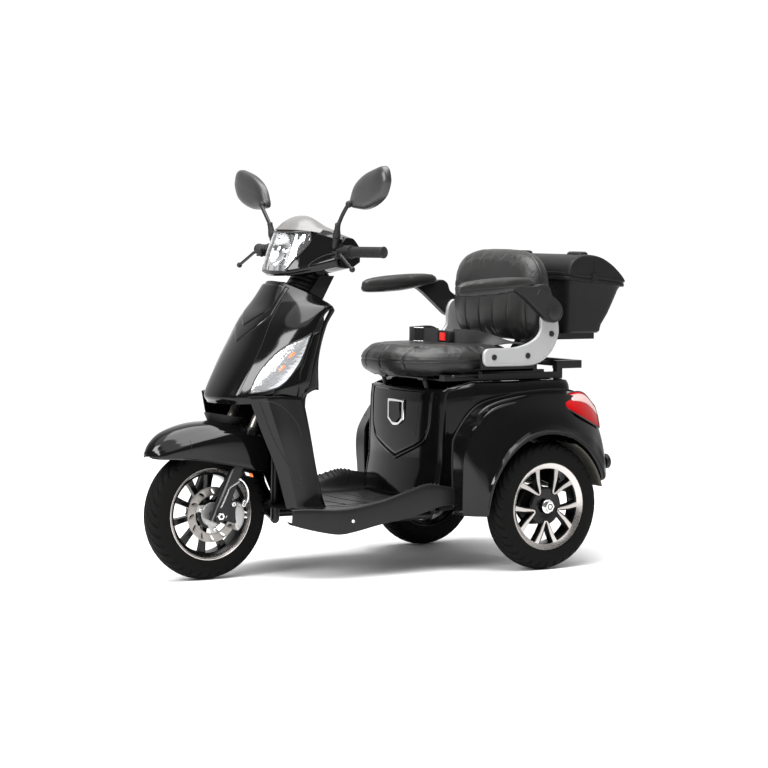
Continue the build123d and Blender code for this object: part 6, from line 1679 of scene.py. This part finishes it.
def strap(name, path, up, width, thick=0.0022):
    """Webbing: each point of the line carries the strap's width along its own
    direction, with half the thickness to each side."""
    path = curve(np.asarray(path, float), 10) * MM
    up = unit(curve(np.asarray(up, float), 10))
    run = unit(np.gradient(path, axis=0))
    up = unit(up - run * (up * run).sum(1, keepdims=True))
    out = np.cross(run, up)
    rows = np.linspace(-0.5, 0.5, 9)
    face = path[:, None] + up[:, None] * rows[None, :, None] * width
    ring = np.concatenate([face + out[:, None] * thick / 2, face[:, ::-1] - out[:, None] * thick / 2], 1)
    verts, faces = capped(ring)
    length = float(np.linalg.norm(np.diff(path, axis=0), axis=1).sum())
    along = np.concatenate([[0], np.cumsum(np.linalg.norm(np.diff(path, axis=0), axis=1))])
    u = np.concatenate([rows + 0.5, rows[::-1] + 0.5]) * width
    uv = np.stack([np.broadcast_to(u, (len(path), 18)), np.broadcast_to(along[:, None], (len(path), 18))], -1) * 20
    obj = build(name, verts, faces, "webbing", "seat", inside=path.mean(0), uv=uv, crisp=50)
    work = bmesh.new()
    work.from_mesh(obj.data)
    bmesh.ops.recalc_face_normals(work, faces=work.faces)
    work.to_mesh(obj.data)
    work.free()
    obj.data.shade_smooth()
    obj.data.set_sharp_from_angle(angle=math.radians(50))
    return obj, length


def belt():
    """Both halves of the lap belt, laid over the cushion, with buckle and slider."""
    tall = (0, 0, 1)
    one, long_one = strap("belt_right", [(-232, 408, 719), (-196, 380, 720), (-160, 340, 726), (-124, 300, 738),
        (-98, 262, 743), (-100, 214, 741), (-92, 186, 740), (-62, 184, 740), (-28, 204, 739), (8, 232, 739)],
        [(0.55, 0.8, 0), (0.5, 0.75, 0.1), (0.35, 0.6, 0.5), (0.1, 0.2, 0.95), tall, tall, tall, tall, tall, tall],
            0.046)
    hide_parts("seat_belt")
    two, long_two = strap("belt_left", [(66, 250, 738), (96, 276, 738), (124, 312, 733), (150, 345, 726),
        (190, 385, 721), (232, 410, 719)],
        [tall, tall, (-0.1, -0.2, 0.95), (-0.35, 0.5, 0.6), (-0.5, 0.75, 0.1), (-0.55, 0.8, 0)], 0.046)
    low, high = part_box("buckle_button")
    mid = (np.array(low) + np.array(high)) / 2
    y0, y1 = high[1] - 0.0005, high[1] + 0.03
    case = [(mid[0] - 0.03, 0.7165), (mid[0] + 0.03, 0.7165), (mid[0] + 0.034, 0.722), (mid[0] + 0.034, 0.75),
        (mid[0] + 0.03, 0.7555), (mid[0] - 0.03, 0.7555), (mid[0] - 0.033, 0.75), (mid[0] - 0.033, 0.722)]
    plate("buckle_case", [(a, y0, b) for a, b in case], np.array([0, min(y1 - y0, 0.02), 0]), "matt_black", "seat",
        bevel=0.0022)
    bar = [(-44, 710.5 + 6), (-14, 716.5), (-14, 764), (-44, 764)]
    turn = unit(np.array([0.62, 0.5, 0]))
    centre = np.array([-0.045, 0.192, 0])
    pts = [centre + turn * (a + 29) * MM + np.array([0, 0, b * MM]) for a, b in bar]
    plate("belt_slider", pts, np.array([-turn[1], turn[0], 0]) * -0.005, "matt_black", "seat", bevel=0.0016)
    for k, z in enumerate((0.7185, 0.762)):
        tube("slider_bar_%d" % k, np.stack([centre + turn * t * MM + np.array([0, 0, z]) - np.array([-turn[1],
            turn[0], 0]) * 0.006 for t in (-17, 0, 17)]), 0.0016, "zinc", "seat", sides=8)


belt()

# ---------------------------------------------------------------- CAD nodes that stay in view
FINISH = {
    "main_frame": "black_steel", "floorboard": "matt_black", "front_apron": "gloss_black",
        "leg_shield": "gloss_black",
    "side_covers": "gloss_black", "turn_signals": "clear", "battery_pack": "matt_black",
        "motor_controller": "aluminium",
    "seat_box_front": "gloss_black", "rear_body": "gloss_black", "rear_fenders": "gloss_black",
        "tail_lights": "red_lamp",
    "rear_carrier": "black_steel", "top_box": "dark_grey", "box_lid": "dark_grey", "shock_bodies": "black_steel",
    "shock_springs": "chrome", "glovebox_door": "gloss_black", "swing_arm": "black_steel",
        "drive_motor": "aluminium",
    "rear_rim_left": "alloy_black", "rear_rim_right": "alloy_black", "rear_tyre_left": "tyre",
        "rear_tyre_right": "tyre",
    "half_shaft_left": "zinc", "half_shaft_right": "zinc", "steering_stem": "steel", "handlebar": "black_steel",
    "control_pods": "matt_black", "grip_left": "rubber", "throttle_grip": "rubber", "headlight_cowl": "gloss_black",
    "headlight_lens": "clear", "headlight_reflector": "chrome", "dash_cover": "gloss_black", "visor": "smoke",
    "brake_lever_left": "black_steel", "brake_lever_right": "black_steel", "mirror_arm_left": "black_steel",
    "mirror_arm_right": "black_steel", "mirror_head_left": "mirror_back", "mirror_head_right": "mirror_back",
    "ignition_key": "matt_black", "fork_sliders": "black_steel", "brake_caliper": "aluminium",
        "front_fender": "gloss_black",
    "front_rim": "alloy_black", "front_tyre": "tyre", "brake_disc": "steel", "seat_platform": "black_steel",
    "seat_frame": "black_steel", "seat_cushion": "vinyl", "back_cushion": "vinyl", "seat_brackets": "silver_paint",
    "seat_belt": "webbing", "armrest_left": "vinyl", "armrest_right": "vinyl", "slide_lever": "black_steel",
    "buckle_button": "red_plastic",
}


def dress(node, finish):
    """Gives one CAD node its finish."""
    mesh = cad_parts[node].data
    mesh.materials.clear()
    mesh.materials.append(MATERIALS[finish])


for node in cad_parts:
    dress(node, FINISH[node])
